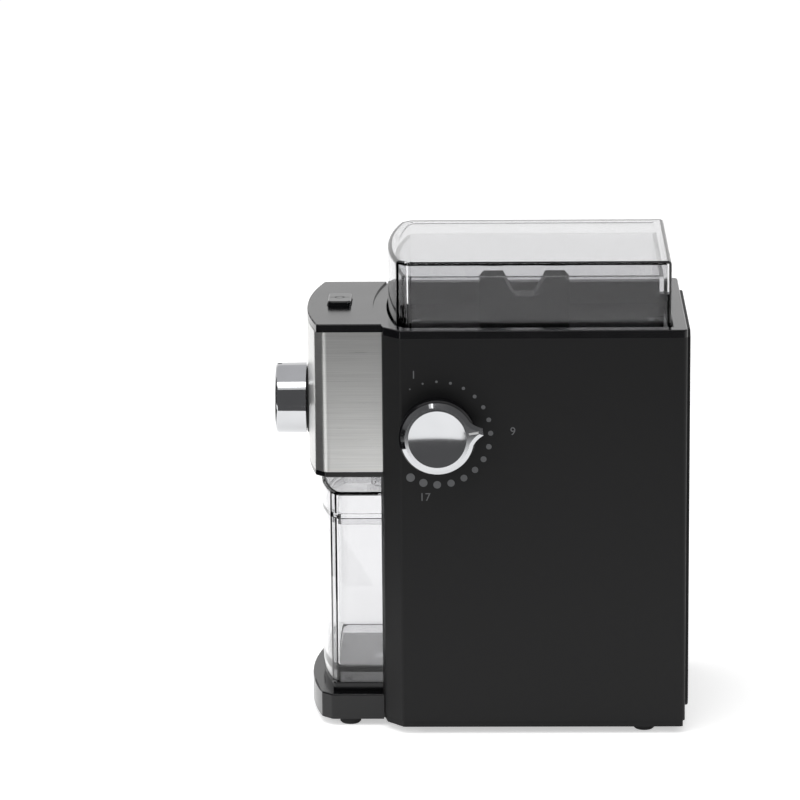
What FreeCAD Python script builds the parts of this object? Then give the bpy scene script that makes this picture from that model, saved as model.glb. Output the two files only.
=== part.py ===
"""Electric burr coffee grinder: a boxy body with a clear hopper, a steel-faced head and a grounds container.

Millimetres, +Z up, table at Z = 0. The model is built about the burr axis (X = Y = 0), with the head
towards -X and the dial on the -Y side, and is then moved so that the origin is the bottom centre of its box.
"""
import FreeCAD, Part
import math
import os

V = FreeCAD.Vector
X_AXIS = V(1, 0, 0)
Y_AXIS = V(0, 1, 0)
Z_AXIS = V(0, 0, 1)

# Body casing and the gloss rim on top of it
FOOT_HEIGHT = 3.7
BOTTOM_THICK = 3.5
CASING_HEIGHT = 206.4
RIM_THICK = 4.2
RIM_WIDTH = 7.0
BODY_FRONT = -80.0
BODY_REAR = 83.7
BODY_HALF = 65.0
BODY_BULGE = 6.2
BODY_CHAMFER_X = 9.2
BODY_CHAMFER_Y = 9.5
BODY_CORNER = 2.5
BODY_WALL = 2.5
BOTTOM_INSET = 1.0
FEATURE_EDGE = 0.8

# Head over the container
HEAD_FRONT = -114.8
HEAD_HALF = 53.6
HEAD_BULGE = 5.2
HEAD_CHAMFER_X = 5.2
HEAD_CHAMFER_Y = 5.2
HEAD_ROLL = 5.2
HEAD_HEIGHT = 81.9
HEAD_TRIM = 3.0
HEAD_RISE = 1.0
COVER_BULGE = 6.6
COVER_CHAMFER = 1.0
HEAD_WALL = 2.2
STEEL_THICK = 0.8
SHEET_GAP = 0.05

# Base tray and the raised dock plate
TRAY_FRONT = -114.4
TRAY_HALF = 50.2
TRAY_BULGE = 6.4
TRAY_CHAMFER_X = 5.7
TRAY_CHAMFER_Y = 5.3
TRAY_HEIGHT = 13.7
TRAY_WALL = 2.5
TRAY_MARGIN = 5.0
PLATE_FRONT = -108.1
PLATE_HALF = 43.4
PLATE_BULGE = 6.1
PLATE_CHAMFER = 1.0
PLATE_HEIGHT = 4.7
PLATE_WALL = 2.2
NUB_RADIUS = 1.5
NUB_HEIGHT = 1.0
NUB_X = -93.5
NUB_Y = 35.3

# Rubber feet
FOOT_RADIUS = 5.6
FOOT_STEM_RADIUS = 2.5
FRONT_FOOT_X = -93.0
FRONT_FOOT_INSET = 7.3
REAR_FOOT_X = 62.5
REAR_FOOT_INSET = 11.2

# Grounds container, its lid and the dock recess
CONTAINER_FRONT = -108.6
CONTAINER_REAR = -40.6
CONTAINER_HALF = 43.0
CONTAINER_BULGE = 6.0
CONTAINER_CHAMFER_X = 3.5
CONTAINER_CHAMFER_Y = 6.5
CONTAINER_CORNER = 5.0
CONTAINER_HEIGHT = 89.5
CONTAINER_WALL = 2.2
CONTAINER_SKIRT = 5.0
FLANGE_PROUD = 2.6
FLANGE_HALF = 30.0
FLANGE_HEIGHT = 62.0
LID_HEIGHT = 14.5
LIP_DEPTH = 3.5
LIP_THICK = 1.6
LIP_GAP = 0.35
INLET_RADIUS = 5.5
COLLAR_WALL = 2.0
COLLAR_DEPTH = 8.0
DOCK_GAP = 2.5
DOCK_BACK_GAP = 1.4
LINER_THICK = 2.0
RIB_HALF = 6.0
RIB_THICK = 5.0

# Clear hopper, its lid and the carrier grip in it
HOPPER_INSET = 12.0
HOPPER_WALL = 2.2
HOPPER_RISE = 26.0
HOPPER_DROP = 20.0
LEDGE_DROP = 8.7
LEDGE_THICK = 2.5
LID_INSET = 8.0
LID_WALL = 2.2
LID_RISE = 34.3
LID_EDGE = 2.0
PANEL_INSET = 6.0
PANEL_DEPTH = 0.6
GRIP_LENGTH = 47.5
GRIP_THICK = 16.0
GRIP_BELOW_RIM = 9.5
NOTCH_TOP = 22.5
NOTCH_BOTTOM = 10.5
NOTCH_DEPTH = 10.5
TAB_BEVEL = 2.5

# Grinding set
DECK_THICK = 3.0
SEAL_THICK = 1.3
SEAL_WIDTH = 3.0
CHAMBER_RADIUS = 29.5
CHAMBER_WALL = 4.0
CHAMBER_FLOOR = 3.0
CHAMBER_DEPTH = 34.0
CARRIER_INSET = 2.0
CARRIER_GAP = 0.8
WINDOW_RADIUS = 20.0
BURR_INSET = 5.5
UPPER_BORE = 13.0
LOWER_BORE = 9.0
BURR_THICK = 7.0
BURR_GAP = 1.0
TOOTH_COUNT = 18
TOOTH_DEPTH = 1.6
TOOTH_WIDTH = 2.4
TOOTH_SLANT = 12.0
BURR_SCREW_RADIUS = 1.6
BURR_SCREW_LENGTH = 5.0
YOKE_THICK = 3.5
YOKE_GAP = 0.5
YOKE_BURR_GAP = 1.0
YOKE_ARM = 8.0
YOKE_SLOT_GAP = 0.9
YOKE_LIFT = 1.3
IMPELLER_DISC = 3.0
IMPELLER_HUB = 8.5
PADDLE_COUNT = 4
PADDLE_THICK = 3.0
PADDLE_HEIGHT = 6.5
PADDLE_TIP_GAP = 1.5
NUT_RADIUS = 6.5
NUT_HEIGHT = 4.5

# Chute from the chamber to the container
CHUTE_HALF = 11.0
CHUTE_WALL = 1.6
CHUTE_DROP = 13.0
CHUTE_HEIGHT = 16.0
SPOUT_LENGTH = 20.0
SPOUT_BELOW = 1.0

# Motor
SHAFT_RADIUS = 4.0
BEARING_FIT = 0.05
STATOR_RADIUS = 29.5
STATOR_HEIGHT = 48.0
AIR_GAP = 0.6
ARMATURE_RADIUS = 20.3
ARMATURE_EXTRA = 2.0
COIL_HEIGHT = 8.0
COIL_WIDTH = 6.5
COIL_GAP = 9.0
BRACKET_RADIUS = 34.0
BRACKET_THICK = 4.0
BRACKET_RIM = 10.0
BRACKET_ARM = 11.0
BRACKET_LEG = 9.0
ARM_COUNT = 4
SCREW_TURN = 45.0
BEARING_RADIUS = 8.5
BEARING_HEIGHT = 7.0
COMMUTATOR_RADIUS = 11.0
COMMUTATOR_HEIGHT = 11.0
COMMUTATOR_BARS = 12
BAR_GAP = 0.8
BRUSH_WIDTH = 6.0
BRUSH_HEIGHT = 8.0
BRUSH_LENGTH = 13.0
BRUSH_GAP = 0.1
HOLDER_WALL = 1.5
MOTOR_CLEAR = 2.0
MOTOR_SCREW_RADIUS = 1.8
MOTOR_SCREW_GAP = 0.4
MOTOR_SCREW_HEAD = 2.8
MOUNT_RADIUS = 5.0
MOUNT_HEIGHT = 6.0
MOUNT_CIRCLE = 26.0
FAN_RADIUS = 29.0
FAN_HEIGHT = 10.0
FAN_DISC = 2.0
FAN_BLADES = 11
FAN_BLADE_THICK = 1.4
FAN_GAP = 3.0

# Grind dial on the near side
DIAL_X = -45.4
DIAL_Z = 163.4
DIAL_SHAFT_RADIUS = 3.9
DIAL_SHAFT_END = -22.0
BUSH_RADIUS = 7.0
BUSH_FLANGE = 9.5
BUSH_LENGTH = 9.0
BUSH_FLANGE_THICK = 2.0
RUN_FIT = 0.05
SKIRT_RADIUS = 19.8
SKIRT_THICK = 8.0
SKIRT_GAP = 0.5
KNOB_RADIUS = 18.9
KNOB_PROUD = 3.2
KNOB_FACE_RADIUS = 15.5
KNOB_FACE_STEP = 0.6
KNOB_DISH = 0.9
KNOB_LAND = 0.5
KNOB_BEVEL = 2.1
KNOB_BEVEL_DEPTH = 1.3
POINTER_REACH = 23.9
POINTER_TIP = 2.0
POINTER_WAIST = 0.7
POINTER_SLOT = 7.6
POINTER_ROOT = 20.0
DIAL_REST = 9.0
DIAL_TURN_UP = 113.5
DIAL_TURN_DOWN = 130.5
CAM_RADIUS = 8.0
CAM_THICK = 6.0
CAM_MARGIN = 12.0
CAM_STEP = 15.0
FOLLOWER_RADIUS = 2.0
FOLLOWER_GAP = 0.3

# Portion knob and timer on the head's front
TIMER_Z = 167.0
PORTION_RADIUS = 19.0
PORTION_LENGTH = 16.4
PORTION_EDGE = 1.6
PORTION_TAPER = 0.3
PORTION_GAP = 0.4
BEZEL_RADIUS = 18.2
BEZEL_THICK = 0.5
BEZEL_HOLE = 12.0
BEZEL_EDGE = 0.2
NOTCH_RADIUS = 1.2
TIMER_HALF = 18.0
TIMER_HEIGHT = 37.0
TIMER_DEPTH = 20.0
TIMER_BOSS = 4.0
TIMER_SHAFT_RADIUS = 3.0
TIMER_SHAFT_GRIP = 11.0
SHAFT_CLEAR = 2.0

# Start button
BUTTON_X = -97.7
BUTTON_LENGTH = 12.4
BUTTON_WIDTH = 21.0
BUTTON_CORNER = 2.5
BUTTON_EDGE = 1.0
BUTTON_PROUD = 2.9
BUTTON_TRAVEL = 2.5
BUTTON_GAP = 0.35
BUTTON_FLANGE = 1.6
BUTTON_FLANGE_THICK = 2.0
SWITCH_LENGTH = 10.0
SWITCH_HEIGHT = 14.0
SPRING_SOLID = 3.5
SPRING_RADIUS = 4.0
SPRING_WIRE = 1.0
LEG_THICK = 3.0

# Interlock pin in the dock plate
PIN_X = -78.0
PIN_RADIUS = 2.1
PIN_GAP = 0.35
PIN_PROUD = 0.3
PIN_TRAVEL = 5.4
PIN_FLANGE_RADIUS = 4.0
PIN_FLANGE_THICK = 2.0
RIB_CLEAR = 0.4
LOCK_SWITCH_LENGTH = 11.0
LOCK_SWITCH_WIDTH = 20.0
LOCK_SWITCH_HEIGHT = 6.5
LOCK_SWITCH_GAP = 1.2

# Rear cover, board and cord gland
COVER_PROUD = 2.1
COVER_MARGIN = 13.0
COVER_BELOW = 3.0
COVER_ABOVE = 3.0
COVER_CORNER = 6.0
WINDOW_MARGIN = 9.0
LOUVRE_COUNT = 6
LOUVRE_PITCH = 7.0
LOUVRE_SLOT = 2.6
LOUVRE_WIDTH = 56.0
LOUVRE_Z = 48.0
LOUVRE_PROUD = 1.0
GLAND_INSET = 24.0
GLAND_RISE = 4.0
GLAND_RADIUS = 6.5
GLAND_FLANGE = 8.5
GLAND_FLANGE_THICK = 1.5
GLAND_BORE = 3.5
GLAND_LENGTH = 10.0
BOARD_WIDTH = 56.0
BOARD_HEIGHT = 70.0
BOARD_THICK = 1.6
BOARD_Z = 110.0
BOARD_POST = 9.0
BOARD_POST_RADIUS = 2.5
BOARD_POST_MARGIN = 5.0

# Screws and the casing's screw posts
POST_RADIUS = 4.5
POST_BITE = 0.8
POST_CLEAR = 1.8
POST_REAR_INSET = 13.4
SCREW_RADIUS = 1.5
SCREW_HEAD_RADIUS = 3.0
SCREW_HEAD_THICK = 1.8
DRIVE_INSET = 0.8
DRIVE_WIDTH = 0.9
DRIVE_DEPTH = 1.0
SCREW_LENGTH = 10.0
REAR_SCREW_INSET = 4.5
REAR_SCREW_LENGTH = 6.0

# Running clearances
SEAT_GAP = 0.3
FIT_GAP = 0.3
JOIN = 0.5
FAR = 400.0

# How near two coordinates or two directions are when they count as the same
SAME_PLACE = 1e-4
SAME_WAY = 1e-6

# Heights that follow from the sizes above
FRONT_FOOT_Y = TRAY_HALF - FRONT_FOOT_INSET
REAR_FOOT_Y = BODY_HALF - REAR_FOOT_INSET
CASING_Z0 = FOOT_HEIGHT + BOTTOM_THICK
CASING_Z1 = CASING_Z0 + CASING_HEIGHT
RIM_Z1 = CASING_Z1 + RIM_THICK
HEAD_Z1 = RIM_Z1 + HEAD_RISE
STEEL_Z1 = CASING_Z1 + HEAD_RISE
HEAD_Z0 = HEAD_Z1 - HEAD_HEIGHT
STEEL_Z0 = HEAD_Z0 + HEAD_TRIM
TRAY_Z1 = FOOT_HEIGHT + TRAY_HEIGHT
PLATE_Z1 = TRAY_Z1 + PLATE_HEIGHT
CONTAINER_Z1 = PLATE_Z1 + CONTAINER_HEIGHT
FLOOR_Z = PLATE_Z1 + CONTAINER_SKIRT
LID_Z1 = CONTAINER_Z1 + LID_HEIGHT
HOPPER_Z1 = RIM_Z1 + HOPPER_RISE
HOPPER_Z0 = RIM_Z1 - HOPPER_DROP - HOPPER_WALL
DECK_Z1 = HOPPER_Z0 - SEAL_THICK
DECK_Z0 = DECK_Z1 - DECK_THICK
HOPPER_LID_Z1 = RIM_Z1 + LID_RISE
LEDGE_Z1 = RIM_Z1 - LEDGE_DROP
LEDGE_Z0 = LEDGE_Z1 - LEDGE_THICK
CHAMBER_Z0 = DECK_Z1 - CHAMBER_DEPTH
CHAMBER_Z = CHAMBER_Z0 + CHAMBER_FLOOR

# Burr set, sized to the chamber
CARRIER_RADIUS = CHAMBER_RADIUS - CARRIER_INSET
BURR_RADIUS = CHAMBER_RADIUS - BURR_INSET
BURR_SCREW_CIRCLE = (UPPER_BORE + BURR_RADIUS) / 2

# Burr stack, from the yoke down
YOKE_Z1 = DECK_Z0 - YOKE_LIFT - FIT_GAP
YOKE_Z0 = YOKE_Z1 - YOKE_THICK
UPPER_BURR_Z0 = YOKE_Z1 - BURR_THICK
LOWER_BURR_Z1 = UPPER_BURR_Z0 - BURR_GAP
LOWER_BURR_Z0 = LOWER_BURR_Z1 - BURR_THICK
DISC_Z0 = LOWER_BURR_Z0 - IMPELLER_DISC
PADDLE_Z0 = DISC_Z0 - PADDLE_HEIGHT
YOKE_INNER = BURR_RADIUS + YOKE_BURR_GAP
YOKE_OUTER = CHAMBER_RADIUS - YOKE_GAP
CHAMBER_OUTER = CHAMBER_RADIUS + CHAMBER_WALL

# Motor stack, hung under the chamber
UPPER_BRACKET_Z1 = CHAMBER_Z0 - MOUNT_HEIGHT
UPPER_BRACKET_Z0 = UPPER_BRACKET_Z1 - BRACKET_THICK
COMMUTATOR_Z1 = UPPER_BRACKET_Z0 - MOTOR_CLEAR - (BEARING_HEIGHT - BRACKET_THICK)
COMMUTATOR_Z0 = COMMUTATOR_Z1 - COMMUTATOR_HEIGHT
UPPER_COIL_Z1 = COMMUTATOR_Z0 - MOTOR_CLEAR
STATOR_Z1 = UPPER_COIL_Z1 - COIL_HEIGHT
STATOR_Z0 = STATOR_Z1 - STATOR_HEIGHT
LOWER_COIL_Z0 = STATOR_Z0 - COIL_HEIGHT
LOWER_BRACKET_Z1 = LOWER_COIL_Z0 - MOTOR_CLEAR
LOWER_BRACKET_Z0 = LOWER_BRACKET_Z1 - BRACKET_THICK
LOWER_BEARING_Z0 = LOWER_BRACKET_Z1 - BEARING_HEIGHT
FAN_Z1 = LOWER_BEARING_Z0 - FAN_GAP
FAN_Z0 = FAN_Z1 - FAN_HEIGHT
SHAFT_Z0 = FAN_Z0 - MOTOR_CLEAR
MOTOR_SCREW_CIRCLE = STATOR_RADIUS + MOTOR_SCREW_RADIUS + MOTOR_SCREW_GAP
COIL_BORE = ARMATURE_RADIUS + AIR_GAP + BAR_GAP
COIL_RADIUS = COIL_BORE + COIL_WIDTH

# Places that follow from the sizes above
DOCK_BACK = CONTAINER_REAR + FLANGE_PROUD + DOCK_BACK_GAP
DOCK_HALF = CONTAINER_HALF + DOCK_GAP
LINER_HALF = DOCK_HALF + LINER_THICK
LINER_BACK = DOCK_BACK + LINER_THICK
SPOUT_X = (CONTAINER_FRONT + CONTAINER_REAR) / 2
NEAR_Y = -BODY_HALF
SKIRT_Y = NEAR_Y - BUSH_FLANGE_THICK - SKIRT_GAP
KNOB_Y = SKIRT_Y - SKIRT_THICK
KNOB_FRONT = KNOB_Y - KNOB_PROUD
CAM_Y = DIAL_SHAFT_END - CAM_THICK
BEZEL_X = HEAD_FRONT - BEZEL_THICK
PORTION_REAR = BEZEL_X - PORTION_GAP
PORTION_FRONT = PORTION_REAR - PORTION_LENGTH
TIMER_FRONT = HEAD_FRONT + STEEL_THICK + HEAD_WALL + TIMER_BOSS
TIMER_REAR = TIMER_FRONT + TIMER_DEPTH
BUTTON_Z1 = HEAD_Z1 + BUTTON_PROUD
BUTTON_FLANGE_Z1 = STEEL_Z1 - SEAT_GAP
BUTTON_FLANGE_Z0 = BUTTON_FLANGE_Z1 - BUTTON_FLANGE_THICK
SWITCH_Z1 = BUTTON_FLANGE_Z0 - BUTTON_TRAVEL - SPRING_SOLID
PIN_Z1 = PLATE_Z1 + PIN_PROUD
PIN_FLANGE_Z1 = PLATE_Z1 - PLATE_WALL - PIN_TRAVEL - FIT_GAP
PIN_Z0 = PIN_FLANGE_Z1 - PIN_FLANGE_THICK
TRAY_FLOOR = FOOT_HEIGHT + TRAY_WALL
COVER_BACK = BODY_REAR + COVER_PROUD
COVER_HALF = BODY_HALF - COVER_MARGIN
GLAND_Y = COVER_HALF - GLAND_INSET
COVER_Z0 = CASING_Z0 + COVER_BELOW
COVER_Z1 = RIM_Z1 - COVER_ABOVE
WINDOW_HALF = COVER_HALF - WINDOW_MARGIN
WINDOW_Z0 = COVER_Z0 + WINDOW_MARGIN
GLAND_Z = WINDOW_Z0 + GLAND_RADIUS + GLAND_RISE
REAR_SCREW_Z1 = LEDGE_Z0 - POST_RADIUS - FIT_GAP
WINDOW_Z1 = REAR_SCREW_Z1 - POST_RADIUS
BOARD_X = BODY_REAR - BODY_WALL - BOARD_POST - BOARD_THICK
GLAND_BACK = COVER_BACK + GLAND_FLANGE_THICK
POST_Y = BODY_HALF - BODY_WALL - POST_RADIUS + POST_BITE
POST_FRONT_X = DIAL_X - BUSH_RADIUS - POST_RADIUS - POST_CLEAR
POST_REAR_X = BODY_REAR - POST_REAR_INSET
SCREW_POSTS = [(x, y) for x in (POST_FRONT_X, POST_REAR_X) for y in (-POST_Y, POST_Y)]
REAR_SCREW_Y = COVER_HALF - REAR_SCREW_INSET
REAR_SCREWS = [(y, z) for y in (-REAR_SCREW_Y, REAR_SCREW_Y)
               for z in (COVER_Z0 + REAR_SCREW_INSET, REAR_SCREW_Z1)]
ARM_ANGLE = math.degrees(math.atan2((CAM_Y + DIAL_SHAFT_END) / 2, DIAL_X))
ARM_REACH = math.hypot(DIAL_X, (CAM_Y + DIAL_SHAFT_END) / 2)

# The frame's origin: the bottom centre of the whole box
FRAME_SHIFT = V(-(PORTION_FRONT + GLAND_BACK) / 2, -(KNOB_FRONT + BODY_HALF) / 2, 0)


def plan(front, rear, half, bulge, chamfer_x, chamfer_y):
    """Outline from above: bowed front, chamfered front corners, straight sides and back."""
    corner = front + bulge
    inner = half - chamfer_y
    near = [V(rear, -half, 0), V(corner + chamfer_x, -half, 0), V(corner, -inner, 0)]
    far = [V(p.x, -p.y, 0) for p in reversed(near)]
    bow = Part.Arc(near[-1], V(front, 0, 0), far[0]).toShape()
    sides = [Part.makeLine(a, b) for run in (near, far) for a, b in zip(run, run[1:])]
    back = Part.makeLine(far[-1], near[0])
    return Part.Face(Part.Wire(Part.__sortEdges__(sides + [bow, back])))


def upright_edges(solid):
    """Straight edges that run along Z."""
    return [e for e in solid.Edges
            if e.Length > 0 and abs(abs(e.tangentAt(e.FirstParameter).z) - 1) < SAME_WAY]


def level_edges(solid, z):
    """Edges that lie flat at one height."""
    return [e for e in solid.Edges
            if abs(e.BoundBox.ZMin - z) < SAME_PLACE and abs(e.BoundBox.ZMax - z) < SAME_PLACE]


def block(face, inset, z0, z1, corner=0.0):
    """Prism of an outline drawn in by an inset, with its upright corners rounded alike."""
    flat = face
    if inset:
        flat = face.makeOffset2D(-inset, 2).Faces[0]
    solid = flat.extrude(V(0, 0, z1 - z0))
    solid.translate(V(0, 0, z0))
    if corner > inset:
        solid = solid.makeFillet(corner - inset, upright_edges(solid))
    return solid


def box(x0, x1, y0, y1, z0, z1):
    """Box between two corners."""
    return Part.makeBox(x1 - x0, y1 - y0, z1 - z0, V(x0, y0, z0))


def rod(radius, start, end, axis=Z_AXIS, x=0.0, y=0.0, z=0.0):
    """Cylinder along an axis, from one coordinate on it to another."""
    base = V(x, y, z) + axis * start
    return Part.makeCylinder(radius, end - start, base, axis)


def tube(inner, outer, start, end, axis=Z_AXIS, x=0.0, y=0.0, z=0.0):
    """Sleeve between two radii."""
    return rod(outer, start, end, axis, x, y, z).cut(rod(inner, start, end, axis, x, y, z))


def pill(length_x, length_y, z0, z1, x, corner):
    """Upright block with rounded corners, centred on the middle plane."""
    solid = box(x - length_x / 2, x + length_x / 2, -length_y / 2, length_y / 2, z0, z1)
    return solid.makeFillet(corner, upright_edges(solid))


def around(shape, count, start=0.0):
    """Copies of a shape, evenly spaced round the burr axis."""
    copies = []
    for i in range(count):
        copy = shape.copy()
        copy.rotate(V(0, 0, 0), Z_AXIS, start + 360.0 * i / count)
        copies.append(copy)
    return copies


def fused(shapes):
    """One solid from touching shapes."""
    return shapes[0].multiFuse(shapes[1:]).removeSplitter()


BODY = plan(BODY_FRONT, BODY_REAR, BODY_HALF, BODY_BULGE, BODY_CHAMFER_X, BODY_CHAMFER_Y)
HEAD = plan(HEAD_FRONT, DIAL_X, HEAD_HALF, HEAD_BULGE, HEAD_CHAMFER_X, HEAD_CHAMFER_Y)
COVER = plan(HEAD_FRONT, DIAL_X, HEAD_HALF, COVER_BULGE, COVER_CHAMFER, COVER_CHAMFER)
TRAY = plan(TRAY_FRONT, DIAL_X, TRAY_HALF, TRAY_BULGE, TRAY_CHAMFER_X, TRAY_CHAMFER_Y)
PLATE = plan(PLATE_FRONT, DOCK_BACK - FIT_GAP, PLATE_HALF, PLATE_BULGE, PLATE_CHAMFER, PLATE_CHAMFER)
CONTAINER = plan(CONTAINER_FRONT, CONTAINER_REAR, CONTAINER_HALF, CONTAINER_BULGE,
                 CONTAINER_CHAMFER_X, CONTAINER_CHAMFER_Y)


def body_keepout(z0, z1):
    """Space of the body casing, with a little room round it."""
    return block(BODY, -SHEET_GAP, z0, z1)


def rubber_feet():
    """Four round feet with a stem plugged into the base."""
    feet = []
    for x, y0 in ((FRONT_FOOT_X, FRONT_FOOT_Y), (REAR_FOOT_X, REAR_FOOT_Y)):
        for y in (-y0, y0):
            pad = rod(FOOT_RADIUS, 0, FOOT_HEIGHT, x=x, y=y)
            pad = pad.makeChamfer(FEATURE_EDGE, level_edges(pad, 0))
            feet.append(pad.fuse(rod(FOOT_STEM_RADIUS, FOOT_HEIGHT, FOOT_HEIGHT + TRAY_WALL, x=x, y=y)))
    return Part.makeCompound(feet)


def foot_holes(x, y0):
    """Holes for the stems of one pair of feet."""
    return [rod(FOOT_STEM_RADIUS, FOOT_HEIGHT, FOOT_HEIGHT + TRAY_WALL, x=x, y=y) for y in (-y0, y0)]


def bottom_plate():
    """Plate that closes the body from below, with sunk screw holes."""
    plate = block(BODY, BOTTOM_INSET, FOOT_HEIGHT, CASING_Z0, BODY_CORNER)
    plate = plate.cut(box(-FAR, LINER_BACK, -LINER_HALF, LINER_HALF, 0, FAR))
    cuts = foot_holes(REAR_FOOT_X, REAR_FOOT_Y)
    for x, y in SCREW_POSTS:
        cuts.append(rod(SCREW_RADIUS, FOOT_HEIGHT, CASING_Z0, x=x, y=y))
        cuts.append(rod(SCREW_HEAD_RADIUS, FOOT_HEIGHT, FOOT_HEIGHT + SCREW_HEAD_THICK, x=x, y=y))
    return plate.cut(cuts)


def base_tray():
    """Front foot of the machine: a hollow tray whose tongue runs back under the dock."""
    front = block(TRAY, 0, FOOT_HEIGHT, TRAY_Z1, BODY_CORNER).cut(body_keepout(0, FAR))
    edges = [e for e in level_edges(front, TRAY_Z1) if e.BoundBox.XMax < BODY_FRONT]
    front = front.makeFillet(FEATURE_EDGE, edges)
    tongue = box(BODY_FRONT, LINER_BACK, -LINER_HALF, LINER_HALF, FOOT_HEIGHT, TRAY_Z1)
    tray = fused([front, tongue])
    opening_half = PLATE_HALF - PLATE_WALL - TRAY_MARGIN
    front_x = PLATE_FRONT + PLATE_BULGE + TRAY_MARGIN
    rear_x = DOCK_BACK - TRAY_MARGIN
    cavity = box(front_x, rear_x, -opening_half, opening_half, TRAY_FLOOR, FAR)
    return tray.cut([cavity] + foot_holes(FRONT_FOOT_X, FRONT_FOOT_Y))


def base_plate():
    """Raised gloss plate that the container stands on, with the pin's hole and two locating nubs."""
    cap = block(PLATE, 0, TRAY_Z1, PLATE_Z1)
    cap = cap.makeFillet(FEATURE_EDGE, level_edges(cap, PLATE_Z1))
    cap = cap.cut(block(PLATE, PLATE_WALL, TRAY_Z1, PLATE_Z1 - PLATE_WALL))
    hole = rod(PIN_RADIUS + PIN_GAP, TRAY_Z1, PLATE_Z1, x=PIN_X)
    nubs = [rod(NUB_RADIUS, PLATE_Z1 - JOIN, PLATE_Z1 + NUB_HEIGHT, x=NUB_X, y=y) for y in (-NUB_Y, NUB_Y)]
    return fused([cap.cut(hole)] + nubs)


def interlock_pin():
    """Round-topped pin in the dock plate that the container holds down."""
    pin = rod(PIN_RADIUS, PIN_Z0, PIN_Z1 - PIN_RADIUS, x=PIN_X)
    dome = Part.makeSphere(PIN_RADIUS, V(PIN_X, 0, PIN_Z1 - PIN_RADIUS))
    flange = rod(PIN_FLANGE_RADIUS, PIN_Z0, PIN_FLANGE_Z1, x=PIN_X)
    return fused([pin, dome, flange])


def interlock_spring():
    """Spring under the pin, as a plain sleeve."""
    return tube(SPRING_RADIUS - SPRING_WIRE, SPRING_RADIUS, TRAY_FLOOR, PIN_Z0, x=PIN_X)


def interlock_switch():
    """Switch beside the pin, on the tray's floor."""
    x0 = PIN_X + max(PIN_FLANGE_RADIUS, SPRING_RADIUS) + LOCK_SWITCH_GAP
    case = box(x0, x0 + LOCK_SWITCH_LENGTH, -LOCK_SWITCH_WIDTH / 2, LOCK_SWITCH_WIDTH / 2,
               TRAY_FLOOR, TRAY_FLOOR + LOCK_SWITCH_HEIGHT)
    return case.makeFillet(FEATURE_EDGE, upright_edges(case))


def body_casing():
    """Matte shell of the body: open top and bottom, a dock recess in front and a window behind."""
    shell = block(BODY, 0, CASING_Z0, CASING_Z1, BODY_CORNER)
    shell = shell.cut(block(BODY, BODY_WALL, CASING_Z0, CASING_Z1, BODY_CORNER))
    posts = [rod(POST_RADIUS, CASING_Z0, DECK_Z0, x=x, y=y) for x, y in SCREW_POSTS]
    wall = BODY_REAR - BODY_WALL
    posts += [rod(POST_RADIUS, wall - REAR_SCREW_LENGTH, wall + JOIN, X_AXIS, y=y, z=z)
              for y, z in REAR_SCREWS]
    shell = fused([shell] + posts)
    head_half = HEAD_HALF - STEEL_THICK - HEAD_WALL - HEAD_CHAMFER_Y
    slit = LINER_HALF + FIT_GAP
    cuts = [box(-FAR, DIAL_X, -slit, slit, 0, STEEL_Z0 + FIT_GAP),
            box(-FAR, DIAL_X, -head_half, head_half, STEEL_Z0, CASING_Z1 - BODY_CHAMFER_Y),
            box(wall - JOIN, FAR, -WINDOW_HALF, WINDOW_HALF, WINDOW_Z0, WINDOW_Z1),
            rod(BUSH_RADIUS, NEAR_Y - JOIN, NEAR_Y + BODY_WALL + JOIN, Y_AXIS, x=DIAL_X, z=DIAL_Z)]
    for x, y in SCREW_POSTS:
        cuts.append(rod(SCREW_RADIUS, CASING_Z0, CASING_Z0 + SCREW_LENGTH, x=x, y=y))
        cuts.append(rod(SCREW_RADIUS, DECK_Z0 - SCREW_LENGTH, DECK_Z0, x=x, y=y))
    for y, z in REAR_SCREWS:
        cuts.append(rod(SCREW_RADIUS, wall - REAR_SCREW_LENGTH, BODY_REAR, X_AXIS, y=y, z=z))
    return shell.cut(cuts)


def dock_liner():
    """U-shaped wall of the recess that the container backs into."""
    front = BODY_FRONT + BODY_BULGE
    liner = box(front, LINER_BACK, -LINER_HALF, LINER_HALF, TRAY_Z1, HEAD_Z0)
    return liner.cut(box(front, DOCK_BACK, -DOCK_HALF, DOCK_HALF, TRAY_Z1, HEAD_Z0))


def top_frame():
    """Gloss rim on the casing, square-edged where the head's cover meets it.

    A tongue goes down from it into the casing, to the ledge that the hopper lid stands on.
    """
    ring = block(BODY, 0, CASING_Z1, RIM_Z1, BODY_CORNER)
    half = HEAD_HALF - FEATURE_EDGE
    sharp = ring.common(box(-FAR, BODY_FRONT + BODY_BULGE, -half, half, CASING_Z1, RIM_Z1))
    ring = fused([ring.makeFillet(FEATURE_EDGE, level_edges(ring, RIM_Z1)), sharp])
    ring = ring.cut(block(BODY, RIM_WIDTH, CASING_Z1, RIM_Z1, BODY_CORNER))
    tongue_in = BODY_WALL + FIT_GAP
    ledge = block(BODY, tongue_in, LEDGE_Z0, LEDGE_Z1, BODY_CORNER)
    ledge = ledge.cut(block(BODY, HOPPER_INSET - FIT_GAP, LEDGE_Z0, LEDGE_Z1))
    tongue = block(BODY, tongue_in, LEDGE_Z1, CASING_Z1, BODY_CORNER)
    tongue = tongue.cut(block(BODY, tongue_in + BODY_WALL, LEDGE_Z1, CASING_Z1, BODY_CORNER))
    return fused([ring, ledge, tongue])


def hopper():
    """Clear tub for the beans, open to the burrs through a round hole in its floor."""
    tub = block(BODY, HOPPER_INSET, HOPPER_Z0, HOPPER_Z1)
    tub = tub.cut(block(BODY, HOPPER_INSET + HOPPER_WALL, HOPPER_Z0 + HOPPER_WALL, HOPPER_Z1))
    rim = level_edges(tub, HOPPER_Z1)
    tub = tub.makeChamfer(FEATURE_EDGE / 2, rim)
    return tub.cut(rod(CARRIER_RADIUS + CARRIER_GAP, HOPPER_Z0, HOPPER_Z1))


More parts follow.
